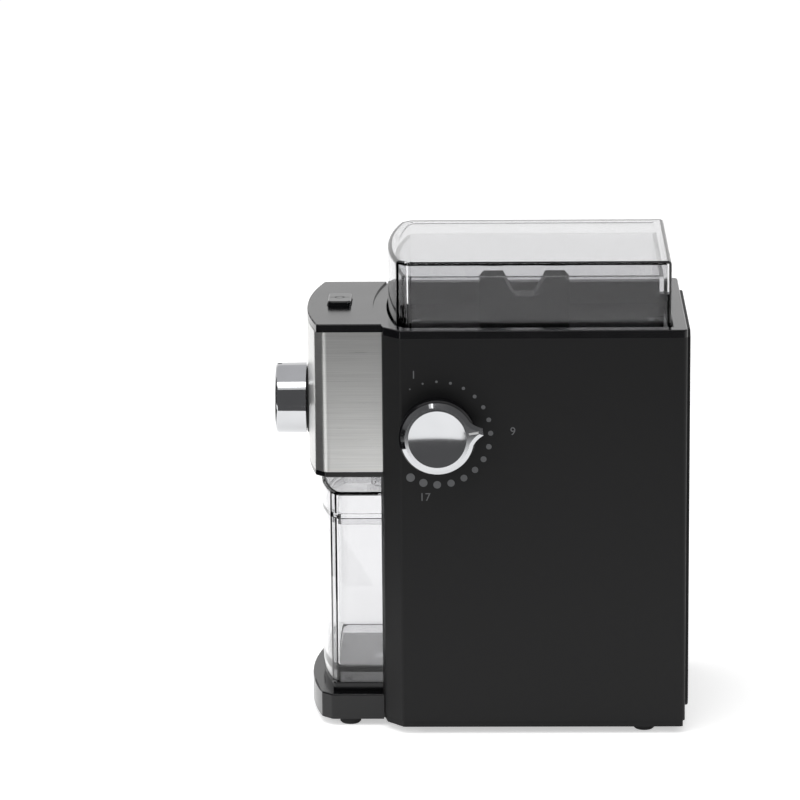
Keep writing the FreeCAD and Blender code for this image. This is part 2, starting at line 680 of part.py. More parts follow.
def hopper_seal():
    """Ring between the hopper's floor and the deck."""
    return tube(CHAMBER_RADIUS, CHAMBER_RADIUS + SEAL_WIDTH, DECK_Z1, HOPPER_Z0)


def hopper_lid():
    """Clear cap over the hopper, standing on the ledge inside the rim."""
    cap = block(BODY, LID_INSET, LEDGE_Z1, HOPPER_LID_Z1)
    cap = cap.makeFillet(LID_EDGE, upright_edges(cap) + level_edges(cap, HOPPER_LID_Z1))
    cap = cap.cut(block(BODY, LID_INSET + LID_WALL, LEDGE_Z1, HOPPER_LID_Z1 - LID_WALL))
    return cap.cut(block(BODY, LID_INSET + PANEL_INSET, HOPPER_LID_Z1 - PANEL_DEPTH, HOPPER_LID_Z1))


def burr_carrier():
    """Disc that holds the upper burr, with the finger grip that stands in the hopper."""
    disc_z1 = HOPPER_Z0 + HOPPER_WALL
    disc = rod(CARRIER_RADIUS, YOKE_Z1, disc_z1)
    feed = rod(WINDOW_RADIUS, YOKE_Z1, disc_z1).cut(
        box(-FAR, FAR, -GRIP_THICK / 2, GRIP_THICK / 2, YOKE_Z1, disc_z1))
    top = HOPPER_Z1 - GRIP_BELOW_RIM
    half = GRIP_LENGTH / 2
    grip = box(-half, half, -GRIP_THICK / 2, GRIP_THICK / 2, disc_z1 - JOIN, top)
    grip = grip.makeChamfer(TAB_BEVEL, [e for e in level_edges(grip, top) if e.BoundBox.XLength < JOIN])
    notch = Part.Face(Part.makePolygon([V(-NOTCH_TOP / 2, 0, top), V(NOTCH_TOP / 2, 0, top),
                                        V(NOTCH_BOTTOM / 2, 0, top - NOTCH_DEPTH),
                                        V(-NOTCH_BOTTOM / 2, 0, top - NOTCH_DEPTH),
                                        V(-NOTCH_TOP / 2, 0, top)]))
    notch = notch.extrude(V(0, GRIP_THICK, 0))
    notch.translate(V(0, -GRIP_THICK / 2, 0))
    grip = grip.cut(notch)
    grip = grip.makeFillet(FEATURE_EDGE, upright_edges(grip))
    screws = [rod(BURR_SCREW_RADIUS, YOKE_Z1, YOKE_Z1 + BURR_SCREW_LENGTH / 2, x=s.CenterOfMass.x,
                  y=s.CenterOfMass.y) for s in burr_screw_set(0, 1)]
    return fused([disc.cut(feed), grip]).cut(screws)


def burr_screw_set(z0, z1, radius=BURR_SCREW_RADIUS):
    """Two upright pins on the burr screw circle, in line with the grip."""
    pin = rod(radius, z0, z1, x=BURR_SCREW_CIRCLE)
    return [pin, pin.mirror(V(0, 0, 0), X_AXIS)]


def toothed_ring(bore, z0, z1, tooth_z):
    """Burr ring with slanted grinding grooves on one face."""
    ring = tube(bore, BURR_RADIUS, z0, z1)
    half = TOOTH_WIDTH / 2
    groove = box(bore - JOIN, BURR_RADIUS + JOIN, -half, half, tooth_z - TOOTH_DEPTH, tooth_z + TOOTH_DEPTH)
    groove.rotate(V(bore, 0, tooth_z), Z_AXIS, TOOTH_SLANT)
    step = 180.0 / TOOTH_COUNT
    return ring.cut(around(groove, TOOTH_COUNT, step))


def upper_burr():
    """Fixed burr, teeth down, screwed to the carrier."""
    ring = toothed_ring(UPPER_BORE, UPPER_BURR_Z0, YOKE_Z1, UPPER_BURR_Z0)
    head_z = UPPER_BURR_Z0 + BURR_THICK - BURR_SCREW_LENGTH / 2
    return ring.cut(burr_screw_set(head_z, YOKE_Z1)
                    + burr_screw_set(UPPER_BURR_Z0, head_z, 2 * BURR_SCREW_RADIUS))


def upper_burr_screws():
    """Screws that hold the upper burr."""
    head_z = UPPER_BURR_Z0 + BURR_THICK - BURR_SCREW_LENGTH / 2
    heads = burr_screw_set(head_z - BURR_SCREW_RADIUS, head_z, 2 * BURR_SCREW_RADIUS)
    pins = burr_screw_set(head_z, YOKE_Z1 + BURR_SCREW_LENGTH / 2)
    return Part.makeCompound([head.fuse(pin) for head, pin in zip(heads, pins)])


def lower_burr():
    """Turning burr, teeth up, on the impeller disc."""
    ring = toothed_ring(LOWER_BORE, LOWER_BURR_Z0, LOWER_BURR_Z1, LOWER_BURR_Z1)
    head_z = LOWER_BURR_Z0 + BURR_SCREW_LENGTH / 2
    return ring.cut(burr_screw_set(LOWER_BURR_Z0, head_z)
                    + burr_screw_set(head_z, LOWER_BURR_Z1, 2 * BURR_SCREW_RADIUS))


def lower_burr_screws():
    """Screws that hold the lower burr."""
    head_z = LOWER_BURR_Z0 + BURR_SCREW_LENGTH / 2
    heads = burr_screw_set(head_z, head_z + BURR_SCREW_RADIUS, 2 * BURR_SCREW_RADIUS)
    pins = burr_screw_set(DISC_Z0, head_z)
    return Part.makeCompound([head.fuse(pin) for head, pin in zip(heads, pins)])


def impeller_disc():
    """Disc under the lower burr, with paddles that sweep the grounds to the chute."""
    disc = rod(BURR_RADIUS, DISC_Z0, LOWER_BURR_Z0)
    hub = rod(IMPELLER_HUB, PADDLE_Z0, DISC_Z0)
    tip = CHAMBER_RADIUS - PADDLE_TIP_GAP
    paddle = box(SHAFT_RADIUS + JOIN, tip, -PADDLE_THICK / 2, PADDLE_THICK / 2, PADDLE_Z0, DISC_Z0)
    wheel = fused([disc, hub] + around(paddle, PADDLE_COUNT, 180.0 / PADDLE_COUNT))
    return wheel.cut([rod(SHAFT_RADIUS, PADDLE_Z0, LOWER_BURR_Z0)] + burr_screw_set(DISC_Z0, LOWER_BURR_Z0))


def burr_nut():
    """Nut on the shaft that clamps the impeller disc."""
    side = NUT_RADIUS
    points = [V(side * math.cos(math.radians(60 * i)), side * math.sin(math.radians(60 * i)), LOWER_BURR_Z0)
              for i in range(7)]
    nut = Part.Face(Part.makePolygon(points)).extrude(V(0, 0, NUT_HEIGHT))
    return nut.cut(rod(SHAFT_RADIUS, LOWER_BURR_Z0, LOWER_BURR_Z1))


def lift_yoke():
    """Ring under the carrier, with an arm and a post that ride on the dial's cam."""
    ring = tube(YOKE_INNER, YOKE_OUTER, YOKE_Z0, YOKE_Z1)
    arm = box(YOKE_INNER + JOIN, ARM_REACH + YOKE_ARM / 2, -YOKE_ARM / 2, YOKE_ARM / 2, YOKE_Z0, YOKE_Z1)
    foot_z = DIAL_Z + CAM_RADIUS + FOLLOWER_GAP + FOLLOWER_RADIUS
    post = rod(FOLLOWER_RADIUS, foot_z, YOKE_Z1, x=ARM_REACH)
    tip = Part.makeSphere(FOLLOWER_RADIUS, V(ARM_REACH, 0, foot_z))
    for shape in (arm, post, tip):
        shape.rotate(V(0, 0, 0), Z_AXIS, ARM_ANGLE)
    return fused([ring, arm, post, tip])


def grind_chamber():
    """Cup round the burrs, hung from the deck that closes the casing under the hopper."""
    deck = block(BODY, BODY_WALL + FIT_GAP, DECK_Z0, DECK_Z1, BODY_CORNER)
    cup = rod(CHAMBER_OUTER, CHAMBER_Z0, DECK_Z1)
    cup = fused([deck, cup])
    slot_half = YOKE_ARM / 2 + YOKE_SLOT_GAP
    slot = box(YOKE_INNER, CHAMBER_OUTER + JOIN, -slot_half, slot_half, YOKE_Z0 - YOKE_SLOT_GAP, DECK_Z0)
    slot.rotate(V(0, 0, 0), Z_AXIS, ARM_ANGLE)
    inner_half = CHUTE_HALF - CHUTE_WALL
    outlet_z1 = CHAMBER_Z + CHUTE_HEIGHT - 2 * CHUTE_WALL
    cuts = [rod(CHAMBER_RADIUS, CHAMBER_Z, DECK_Z1),
            rod(SHAFT_RADIUS + SHAFT_CLEAR, CHAMBER_Z0, CHAMBER_Z),
            box(-CHAMBER_OUTER - JOIN, 0, -inner_half, inner_half, CHAMBER_Z, outlet_z1),
            slot]
    cuts += [rod(SCREW_RADIUS, DECK_Z0, DECK_Z1, x=x, y=y) for x, y in SCREW_POSTS]
    return cup.cut(cuts)


def chute():
    """Duct that falls from the chamber to a spout over the container."""
    x_in = -math.sqrt(CHAMBER_OUTER ** 2 - CHUTE_HALF ** 2)
    rear = SPOUT_X + SPOUT_LENGTH / 2
    front = SPOUT_X - SPOUT_LENGTH / 2
    low = HEAD_Z0 - SPOUT_BELOW
    z_in = CHAMBER_Z
    wall = CHUTE_WALL
    top_in = z_in + CHUTE_HEIGHT - 2 * wall
    top_out = top_in - CHUTE_DROP
    z_out = z_in - CHUTE_DROP
    outer = [(x_in, z_in - wall), (x_in, top_in + wall), (rear, top_out + wall), (front, top_out + wall),
             (front, low), (rear, low), (rear, z_out - wall)]
    inner = [(x_in, z_in), (x_in, top_in), (rear - wall, top_out), (front + wall, top_out),
             (front + wall, low), (rear - wall, low), (rear - wall, z_out)]
    solids = []
    for points, half in ((outer, CHUTE_HALF), (inner, CHUTE_HALF - wall)):
        corners = [V(x, -half, z) for x, z in points + points[:1]]
        solids.append(Part.Face(Part.makePolygon(corners)).extrude(V(0, 2 * half, 0)))
    return solids[0].cut([solids[1], rod(CHAMBER_OUTER, 0, FAR)])


def motor_shaft():
    """Shaft from the fan to the burr nut."""
    return rod(SHAFT_RADIUS, SHAFT_Z0, LOWER_BURR_Z0 + NUT_HEIGHT)


def armature():
    """Laminated core on the shaft, with winding slots."""
    core = tube(SHAFT_RADIUS, ARMATURE_RADIUS, STATOR_Z0 - ARMATURE_EXTRA, STATOR_Z1 + ARMATURE_EXTRA)
    slot = box(ARMATURE_RADIUS - COIL_WIDTH, ARMATURE_RADIUS + JOIN, -BAR_GAP, BAR_GAP,
               STATOR_Z0 - ARMATURE_EXTRA, STATOR_Z1 + ARMATURE_EXTRA)
    return core.cut(around(slot, COMMUTATOR_BARS))


def commutator():
    """Copper drum for the brushes, with its bars marked by grooves."""
    drum = tube(SHAFT_RADIUS, COMMUTATOR_RADIUS, COMMUTATOR_Z0, COMMUTATOR_Z1)
    groove = box(COMMUTATOR_RADIUS - BAR_GAP, COMMUTATOR_RADIUS + JOIN, -BAR_GAP / 2, BAR_GAP / 2,
                 COMMUTATOR_Z0, COMMUTATOR_Z1)
    return drum.cut(around(groove, COMMUTATOR_BARS))


def motor_stator():
    """Laminated stack round the armature."""
    return tube(ARMATURE_RADIUS + AIR_GAP, STATOR_RADIUS, STATOR_Z0, STATOR_Z1)


def stator_coils():
    """Field coil heads above and below the stack, two halves each."""
    halves = []
    for z0 in (LOWER_COIL_Z0, STATOR_Z1):
        ring = tube(COIL_BORE, COIL_RADIUS, z0, z0 + COIL_HEIGHT)
        ring = ring.cut(box(-FAR, FAR, -COIL_GAP / 2, COIL_GAP / 2, z0, z0 + COIL_HEIGHT))
        halves += [solid.makeFillet(BAR_GAP, level_edges(solid, z0)) for solid in ring.Solids]
    return Part.makeCompound(halves)


def bracket(z0, bearing_z0, leg_z0, leg_z1):
    """End plate of the motor: a rim on four arms, a bearing seat, and legs that clamp the stack."""
    z1 = z0 + BRACKET_THICK
    rim = tube(BRACKET_RADIUS - BRACKET_RIM, BRACKET_RADIUS, z0, z1)
    arm = box(BEARING_RADIUS, BRACKET_RADIUS - BRACKET_RIM / 2, -BRACKET_ARM / 2, BRACKET_ARM / 2, z0, z1)
    seat = rod(BEARING_RADIUS + HOLDER_WALL, min(z0, bearing_z0), max(z1, bearing_z0 + BEARING_HEIGHT))
    leg_in = COIL_RADIUS + MOTOR_SCREW_GAP
    leg = box(leg_in, MOTOR_SCREW_CIRCLE, -BRACKET_LEG / 2, BRACKET_LEG / 2, leg_z0, leg_z1)
    plate = fused([rim, seat] + around(arm, ARM_COUNT) + around(leg, ARM_COUNT, SCREW_TURN))
    holes = [rod(BEARING_RADIUS, bearing_z0, bearing_z0 + BEARING_HEIGHT)]
    screw = rod(MOTOR_SCREW_RADIUS, min(z0, leg_z0), max(z1, leg_z1), x=MOTOR_SCREW_CIRCLE)
    return plate.cut(holes + around(screw, ARM_COUNT, SCREW_TURN))


def upper_bracket():
    """Bracket under the chamber."""
    return bracket(UPPER_BRACKET_Z0, UPPER_BRACKET_Z1 - BEARING_HEIGHT, STATOR_Z1, UPPER_BRACKET_Z1)


def lower_bracket():
    """Bracket over the fan."""
    return bracket(LOWER_BRACKET_Z0, LOWER_BEARING_Z0, LOWER_BRACKET_Z0, STATOR_Z0)


def upper_bearing():
    """Bearing of the shaft's upper end."""
    z1 = UPPER_BRACKET_Z1
    return tube(SHAFT_RADIUS + BEARING_FIT, BEARING_RADIUS, z1 - BEARING_HEIGHT, z1)


def lower_bearing():
    """Bearing of the shaft's lower end."""
    return tube(SHAFT_RADIUS + BEARING_FIT, BEARING_RADIUS, LOWER_BEARING_Z0, LOWER_BRACKET_Z1)


def carbon_brushes():
    """Two carbon bars that press on the commutator."""
    y0 = COMMUTATOR_RADIUS + BRUSH_GAP
    mid = (COMMUTATOR_Z0 + COMMUTATOR_Z1) / 2
    bar = box(-BRUSH_WIDTH / 2, BRUSH_WIDTH / 2, y0, y0 + BRUSH_LENGTH, mid - BRUSH_HEIGHT / 2,
              mid + BRUSH_HEIGHT / 2)
    return Part.makeCompound(around(bar, 2))


def brush_holders():
    """Sleeves round the brushes, on stalks from the upper bracket."""
    y0 = COMMUTATOR_RADIUS + BRUSH_GAP + BRUSH_WIDTH / 2
    y1 = COMMUTATOR_RADIUS + BRUSH_GAP + BRUSH_LENGTH
    half = BRUSH_WIDTH / 2
    mid = (COMMUTATOR_Z0 + COMMUTATOR_Z1) / 2
    tall = BRUSH_HEIGHT / 2
    sleeve = box(-half - HOLDER_WALL, half + HOLDER_WALL, y0, y1 + HOLDER_WALL, mid - tall - HOLDER_WALL,
                 UPPER_BRACKET_Z0)
    sleeve = sleeve.cut(box(-half, half, y0, y1, mid - tall, mid + tall))
    return Part.makeCompound(around(sleeve, 2))


def cooling_fan():
    """Radial fan on the shaft's lower end."""
    disc = rod(FAN_RADIUS, FAN_Z1 - FAN_DISC, FAN_Z1)
    hub = rod(BEARING_RADIUS, FAN_Z0, FAN_Z1)
    blade = box(BEARING_RADIUS - JOIN, FAN_RADIUS, -FAN_BLADE_THICK / 2, FAN_BLADE_THICK / 2, FAN_Z0, FAN_Z1)
    return fused([disc, hub] + around(blade, FAN_BLADES)).cut(rod(SHAFT_RADIUS, FAN_Z0, FAN_Z1))


def motor_mounts():
    """Rubber buffers between the motor and the chamber."""
    buffer = rod(MOUNT_RADIUS, UPPER_BRACKET_Z1, CHAMBER_Z0, x=MOUNT_CIRCLE)
    return Part.makeCompound(around(buffer, ARM_COUNT))


def motor_screws():
    """Long screws that clamp the two brackets on the stack."""
    shank = rod(MOTOR_SCREW_RADIUS, LOWER_BRACKET_Z0, UPPER_BRACKET_Z1, x=MOTOR_SCREW_CIRCLE)
    head = rod(MOTOR_SCREW_HEAD, UPPER_BRACKET_Z1, UPPER_BRACKET_Z1 + SCREW_HEAD_THICK, x=MOTOR_SCREW_CIRCLE)
    return Part.makeCompound(around(shank.fuse(head), ARM_COUNT, SCREW_TURN))


def dial_bush():
    """Flanged sleeve in the casing's near wall for the dial's shaft."""
    sleeve = rod(BUSH_RADIUS, NEAR_Y, NEAR_Y + BUSH_LENGTH, Y_AXIS, x=DIAL_X, z=DIAL_Z)
    flange = rod(BUSH_FLANGE, NEAR_Y - BUSH_FLANGE_THICK, NEAR_Y, Y_AXIS, x=DIAL_X, z=DIAL_Z)
    bore = rod(DIAL_SHAFT_RADIUS + RUN_FIT, NEAR_Y - BUSH_FLANGE_THICK, NEAR_Y + BUSH_LENGTH, Y_AXIS,
               x=DIAL_X, z=DIAL_Z)
    return fused([sleeve, flange]).cut(bore)


def dial_shaft():
    """Shaft from the dial to its cam."""
    return rod(DIAL_SHAFT_RADIUS, KNOB_Y - KNOB_PROUD / 2, DIAL_SHAFT_END, Y_AXIS, x=DIAL_X, z=DIAL_Z)


def dial_skirt():
    """Black collar behind the dial."""
    ring = tube(DIAL_SHAFT_RADIUS, SKIRT_RADIUS, KNOB_Y, SKIRT_Y, Y_AXIS, x=DIAL_X, z=DIAL_Z)
    return ring.makeChamfer(FEATURE_EDGE, y_edges(ring, KNOB_Y, SKIRT_RADIUS))


def y_edges(solid, y, radius):
    """Edges square to Y, at one depth and no smaller than a radius."""
    return [e for e in solid.Edges
            if abs(e.BoundBox.YMin - y) < SAME_PLACE and abs(e.BoundBox.YMax - y) < SAME_PLACE
            and e.BoundBox.DiagonalLength > radius]


def dial_knob():
    """Chrome cap of the dial: a bevelled ring with a pointer lobe, and a slightly dished face inside it.

    It is turned to its rest mark.
    """
    ring_y = KNOB_FRONT + KNOB_FACE_STEP
    bevel_y = ring_y + KNOB_BEVEL_DEPTH
    ring = rod(KNOB_RADIUS, bevel_y, KNOB_Y, Y_AXIS)
    slope = Part.makeCone(KNOB_RADIUS - KNOB_BEVEL, KNOB_RADIUS, KNOB_BEVEL_DEPTH, V(0, ring_y, 0), Y_AXIS)
    dish = KNOB_FACE_RADIUS - KNOB_LAND
    dish_radius = (dish ** 2 + KNOB_DISH ** 2) / (2 * KNOB_DISH)
    hollow_face = Part.makeSphere(dish_radius, V(0, KNOB_FRONT + KNOB_DISH - dish_radius, 0))
    face = rod(KNOB_FACE_RADIUS, KNOB_FRONT, KNOB_Y, Y_AXIS)
    turn = math.radians(POINTER_ROOT)
    root = V(KNOB_RADIUS * math.cos(turn), ring_y, KNOB_RADIUS * math.sin(turn))
    tip = V(POINTER_REACH, ring_y, POINTER_TIP)
    flank = Part.Arc(root, (root + tip) * 0.5 - Z_AXIS * POINTER_WAIST, tip).toShape().Curve
    lobe = box(KNOB_FACE_RADIUS, POINTER_REACH, ring_y, KNOB_Y, -root.z, root.z)
    for z in (-flank.Center.z, flank.Center.z):
        lobe = lobe.cut([rod(flank.Radius, ring_y, KNOB_Y, Y_AXIS, x=flank.Center.x, z=z),
                         Part.makeCone(flank.Radius + KNOB_BEVEL, flank.Radius, KNOB_BEVEL_DEPTH,
                                       V(flank.Center.x, ring_y, z), Y_AXIS)])
    start = V(POINTER_REACH - KNOB_BEVEL, ring_y, -root.z)
    edge = Part.makePolygon([start, V(POINTER_REACH, ring_y, -root.z), V(POINTER_REACH, bevel_y, -root.z),
                             start])
    lobe = lobe.cut(Part.Face(edge).extrude(V(0, 0, 2 * root.z)))
    slot = box(POINTER_REACH - POINTER_SLOT, POINTER_REACH - KNOB_BEVEL, ring_y, ring_y + FEATURE_EDGE,
               -FEATURE_EDGE, FEATURE_EDGE)
    knob = fused([ring, slope, face, lobe]).cut([slot, hollow_face])
    knob.rotate(V(0, 0, 0), Y_AXIS, -DIAL_REST)
    knob.translate(V(DIAL_X, 0, DIAL_Z))
    return knob.cut(dial_shaft())


def dial_cam():
    """Spiral cam that lifts the yoke in step with the dial's turn towards coarse."""
    rise = YOKE_LIFT / (DIAL_TURN_UP + DIAL_TURN_DOWN)
    first = -DIAL_TURN_DOWN - CAM_MARGIN
    last = DIAL_TURN_UP + CAM_MARGIN
    count = int(round((last - first) / CAM_STEP))
    points = []
    for i in range(count + 1):
        turn = first + (last - first) * i / count
        radius = CAM_RADIUS - rise * turn
        angle = math.radians(90 - turn)
        points.append(V(radius * math.cos(angle), 0, radius * math.sin(angle)))
    curve = Part.BSplineCurve()
    curve.interpolate(points)
    closing = Part.makeLine(points[-1], points[0])
    cam = Part.Face(Part.Wire([curve.toShape(), closing])).extrude(V(0, CAM_THICK, 0))
    cam.translate(V(DIAL_X, CAM_Y, DIAL_Z))
    return cam.cut(dial_shaft())


def head_block(inset, z0, z1):
    """Prism of the head's outline drawn in by an inset, with wider bends at its sides than in front."""
    solid = block(HEAD, inset, z0, z1)
    side = HEAD_HALF - inset
    solid = solid.makeFillet(HEAD_ROLL - inset, [e for e in upright_edges(solid)
                                                 if e.CenterOfMass.x < DIAL_X - JOIN
                                                 and abs(e.CenterOfMass.y) > side - JOIN])
    if BODY_CORNER > inset:
        solid = solid.makeFillet(BODY_CORNER - inset, [e for e in upright_edges(solid)
                                                       if abs(e.CenterOfMass.y) < side - HEAD_CHAMFER_Y / 2])
    return solid


def head_shell():
    """Moulded wall of the head behind the steel, with bosses for the timer."""
    outer = STEEL_THICK + SHEET_GAP
    shell = head_block(outer, STEEL_Z0, STEEL_Z1).cut(head_block(outer + HEAD_WALL, STEEL_Z0, STEEL_Z1))
    shell = shell.cut(body_keepout(0, FAR))
    wall = HEAD_FRONT + STEEL_THICK + HEAD_WALL
    bosses = [rod(TIMER_BOSS, wall - SHEET_GAP, TIMER_FRONT, X_AXIS, y=y, z=TIMER_Z + TIMER_HEIGHT / 3)
              for y in (-TIMER_HALF + TIMER_BOSS, TIMER_HALF - TIMER_BOSS)]
    hole = rod(TIMER_SHAFT_RADIUS + SHAFT_CLEAR, HEAD_FRONT - JOIN, TIMER_FRONT, X_AXIS, z=TIMER_Z)
    return fused([shell] + bosses).cut(hole)


def steel_wrap():
    """Brushed steel sheet bent round the head."""
    sheet = head_block(0, STEEL_Z0, STEEL_Z1).cut(head_block(STEEL_THICK, STEEL_Z0, STEEL_Z1))
    sheet = sheet.cut(body_keepout(0, FAR))
    hole = rod(TIMER_SHAFT_RADIUS + SHAFT_CLEAR, HEAD_FRONT - JOIN, TIMER_FRONT, X_AXIS, z=TIMER_Z)
    return sheet.cut(hole)


def head_cover():
    """Gloss top of the head, with the button's hole and two legs that carry the start switch."""
    cover = block(COVER, 0, STEEL_Z1, HEAD_Z1)
    cover = cover.makeFillet(FEATURE_EDGE, level_edges(cover, HEAD_Z1))
    cover = cover.cut(body_keepout(0, FAR))
    hole = pill(BUTTON_LENGTH + 2 * BUTTON_GAP, BUTTON_WIDTH + 2 * BUTTON_GAP, STEEL_Z1, HEAD_Z1, BUTTON_X,
                BUTTON_CORNER + BUTTON_GAP)
    y0 = BUTTON_WIDTH / 2 + BUTTON_FLANGE + FIT_GAP
    legs = [box(BUTTON_X - SWITCH_LENGTH / 2, BUTTON_X + SWITCH_LENGTH / 2, min(s * y0, s * (y0 + LEG_THICK)),
                max(s * y0, s * (y0 + LEG_THICK)), SWITCH_Z1 - SWITCH_HEIGHT, STEEL_Z1) for s in (-1, 1)]
    return fused([cover.cut(hole)] + legs)


def head_floor():
    """Black underside of the head, running back as the ceiling of the dock, with the spout's hole."""
    trim = block(HEAD, SHEET_GAP, HEAD_Z0, STEEL_Z0, BODY_CORNER)
    trim = trim.makeFillet(FEATURE_EDGE, level_edges(trim, HEAD_Z0))
    trim = trim.cut(body_keepout(0, FAR))
    ceiling = box(BODY_FRONT - JOIN, LINER_BACK, -LINER_HALF, LINER_HALF, HEAD_Z0, STEEL_Z0)
    length = SPOUT_LENGTH / 2
    hole = box(SPOUT_X - length, SPOUT_X + length, -CHUTE_HALF, CHUTE_HALF, HEAD_Z0, STEEL_Z0)
    return fused([trim, ceiling]).cut(hole)


def start_button():
    """Push button on the head, with a flange that keeps it in."""
    cap = pill(BUTTON_LENGTH, BUTTON_WIDTH, BUTTON_FLANGE_Z0, BUTTON_Z1, BUTTON_X, BUTTON_CORNER)
    cap = cap.makeFillet(BUTTON_EDGE, level_edges(cap, BUTTON_Z1))
    flange = pill(BUTTON_LENGTH + 2 * BUTTON_FLANGE, BUTTON_WIDTH + 2 * BUTTON_FLANGE, BUTTON_FLANGE_Z0,
                  BUTTON_FLANGE_Z1, BUTTON_X, BUTTON_CORNER)
    return fused([cap, flange])


def button_spring():
    """Spring under the button, as a plain sleeve."""
    return tube(SPRING_RADIUS - SPRING_WIRE, SPRING_RADIUS, SWITCH_Z1, BUTTON_FLANGE_Z0, x=BUTTON_X)


def start_switch():
    """Switch between the legs of the head cover."""
    half = BUTTON_WIDTH / 2 + BUTTON_FLANGE + FIT_GAP
    case = box(BUTTON_X - SWITCH_LENGTH / 2, BUTTON_X + SWITCH_LENGTH / 2, -half, half,
               SWITCH_Z1 - SWITCH_HEIGHT, SWITCH_Z1)
    return case


def timer_unit():
    """Clockwork timer behind the head's front."""
    case = box(TIMER_FRONT, TIMER_REAR, -TIMER_HALF, TIMER_HALF, TIMER_Z - TIMER_HEIGHT / 2,
               TIMER_Z + TIMER_HEIGHT / 2)
    case = case.makeFillet(FEATURE_EDGE, case.Edges)
    return case.cut(rod(TIMER_SHAFT_RADIUS + RUN_FIT, TIMER_FRONT, TIMER_FRONT + TIMER_SHAFT_GRIP, X_AXIS,
                        z=TIMER_Z))


def timer_shaft():
    """Shaft from the timer to the portion knob."""
    return rod(TIMER_SHAFT_RADIUS, PORTION_REAR - TIMER_SHAFT_GRIP, TIMER_FRONT + TIMER_SHAFT_GRIP - FIT_GAP,
               X_AXIS, z=TIMER_Z)


def portion_bezel():
    """Thin collar on the head's front, behind the portion knob."""
    ring = rod(BEZEL_RADIUS, BEZEL_X, HEAD_FRONT + HEAD_BULGE, X_AXIS, z=TIMER_Z)
    ring = ring.makeFillet(BEZEL_EDGE, [e for e in ring.Edges if e.BoundBox.XMax < BEZEL_X + SAME_PLACE])
    hole = rod(BEZEL_HOLE, BEZEL_X, HEAD_FRONT + HEAD_BULGE, X_AXIS, z=TIMER_Z)
    return ring.cut([hole, block(HEAD, 0, STEEL_Z0, STEEL_Z1, BODY_CORNER)])


def portion_knob():
    """Chrome knob, slightly tapered, with a small pointer notch on its front edge."""
    cone = Part.makeCone(PORTION_RADIUS - PORTION_TAPER, PORTION_RADIUS, PORTION_LENGTH,
                         V(PORTION_FRONT, 0, TIMER_Z), X_AXIS)
    front = [e for e in cone.Edges if abs(e.BoundBox.XMax - PORTION_FRONT) < SAME_PLACE]
    cone = cone.makeFillet(PORTION_EDGE, front)
    notch = rod(NOTCH_RADIUS, PORTION_FRONT - JOIN, PORTION_FRONT + PORTION_EDGE * 2, X_AXIS,
                z=TIMER_Z + PORTION_RADIUS - PORTION_TAPER)
    return cone.cut([notch, timer_shaft()])


def container():
    """Clear grounds container on a skirt that is open behind, with a grip flange on its back."""
    pot = block(CONTAINER, 0, PLATE_Z1, CONTAINER_Z1, CONTAINER_CORNER)
    flange = box(CONTAINER_REAR - CONTAINER_WALL, CONTAINER_REAR + FLANGE_PROUD, -FLANGE_HALF, FLANGE_HALF,
                 CONTAINER_Z1 - FLANGE_HEIGHT, CONTAINER_Z1)
    pot = fused([pot, flange])
    cavity = block(CONTAINER, CONTAINER_WALL, FLOOR_Z + CONTAINER_WALL, CONTAINER_Z1, CONTAINER_CORNER)
    cavity = cavity.makeFillet(CONTAINER_WALL, level_edges(cavity, FLOOR_Z + CONTAINER_WALL))
    recess = block(CONTAINER, CONTAINER_WALL, PLATE_Z1, FLOOR_Z)
    inner = CONTAINER_HALF - CONTAINER_WALL
    back = box(CONTAINER_REAR - 2 * CONTAINER_WALL, FAR, -inner, inner, PLATE_Z1, FLOOR_Z)
    pot = pot.cut([cavity, recess, back])
    rib_z = PIN_Z1 + RIB_CLEAR
    rib = box(PIN_X - RIB_THICK / 2, PIN_X + RIB_THICK / 2, -RIB_HALF, RIB_HALF, rib_z, FLOOR_Z + JOIN)
    return fused([pot, rib])


def container_lid():
    """Clear cap with an inner lip and a collar that takes the grounds in."""
    cap = block(CONTAINER, 0, CONTAINER_Z1, LID_Z1, CONTAINER_CORNER)
    cap = cap.makeFillet(LID_EDGE / 2, level_edges(cap, LID_Z1))
    lip_in = CONTAINER_WALL + LIP_GAP
    cap = cap.cut(block(CONTAINER, lip_in + LIP_THICK, CONTAINER_Z1, LID_Z1 - CONTAINER_WALL,
                        CONTAINER_CORNER))
    lip = block(CONTAINER, lip_in, CONTAINER_Z1 - LIP_DEPTH, CONTAINER_Z1 + JOIN, CONTAINER_CORNER)
    lip = lip.cut(block(CONTAINER, lip_in + LIP_THICK, CONTAINER_Z1 - LIP_DEPTH, CONTAINER_Z1 + JOIN,
                        CONTAINER_CORNER))
    relief_z = CONTAINER_Z1 + CONTAINER_WALL
    relief = block(CONTAINER, CONTAINER_WALL, relief_z, LID_Z1 - CONTAINER_WALL, CONTAINER_CORNER)
    collar = rod(INLET_RADIUS + COLLAR_WALL, LID_Z1 - COLLAR_DEPTH, LID_Z1 - CONTAINER_WALL + JOIN, x=SPOUT_X)
    inlet = rod(INLET_RADIUS, LID_Z1 - COLLAR_DEPTH, LID_Z1, x=SPOUT_X)
    return fused([cap.cut(relief), lip, collar]).cut(inlet)


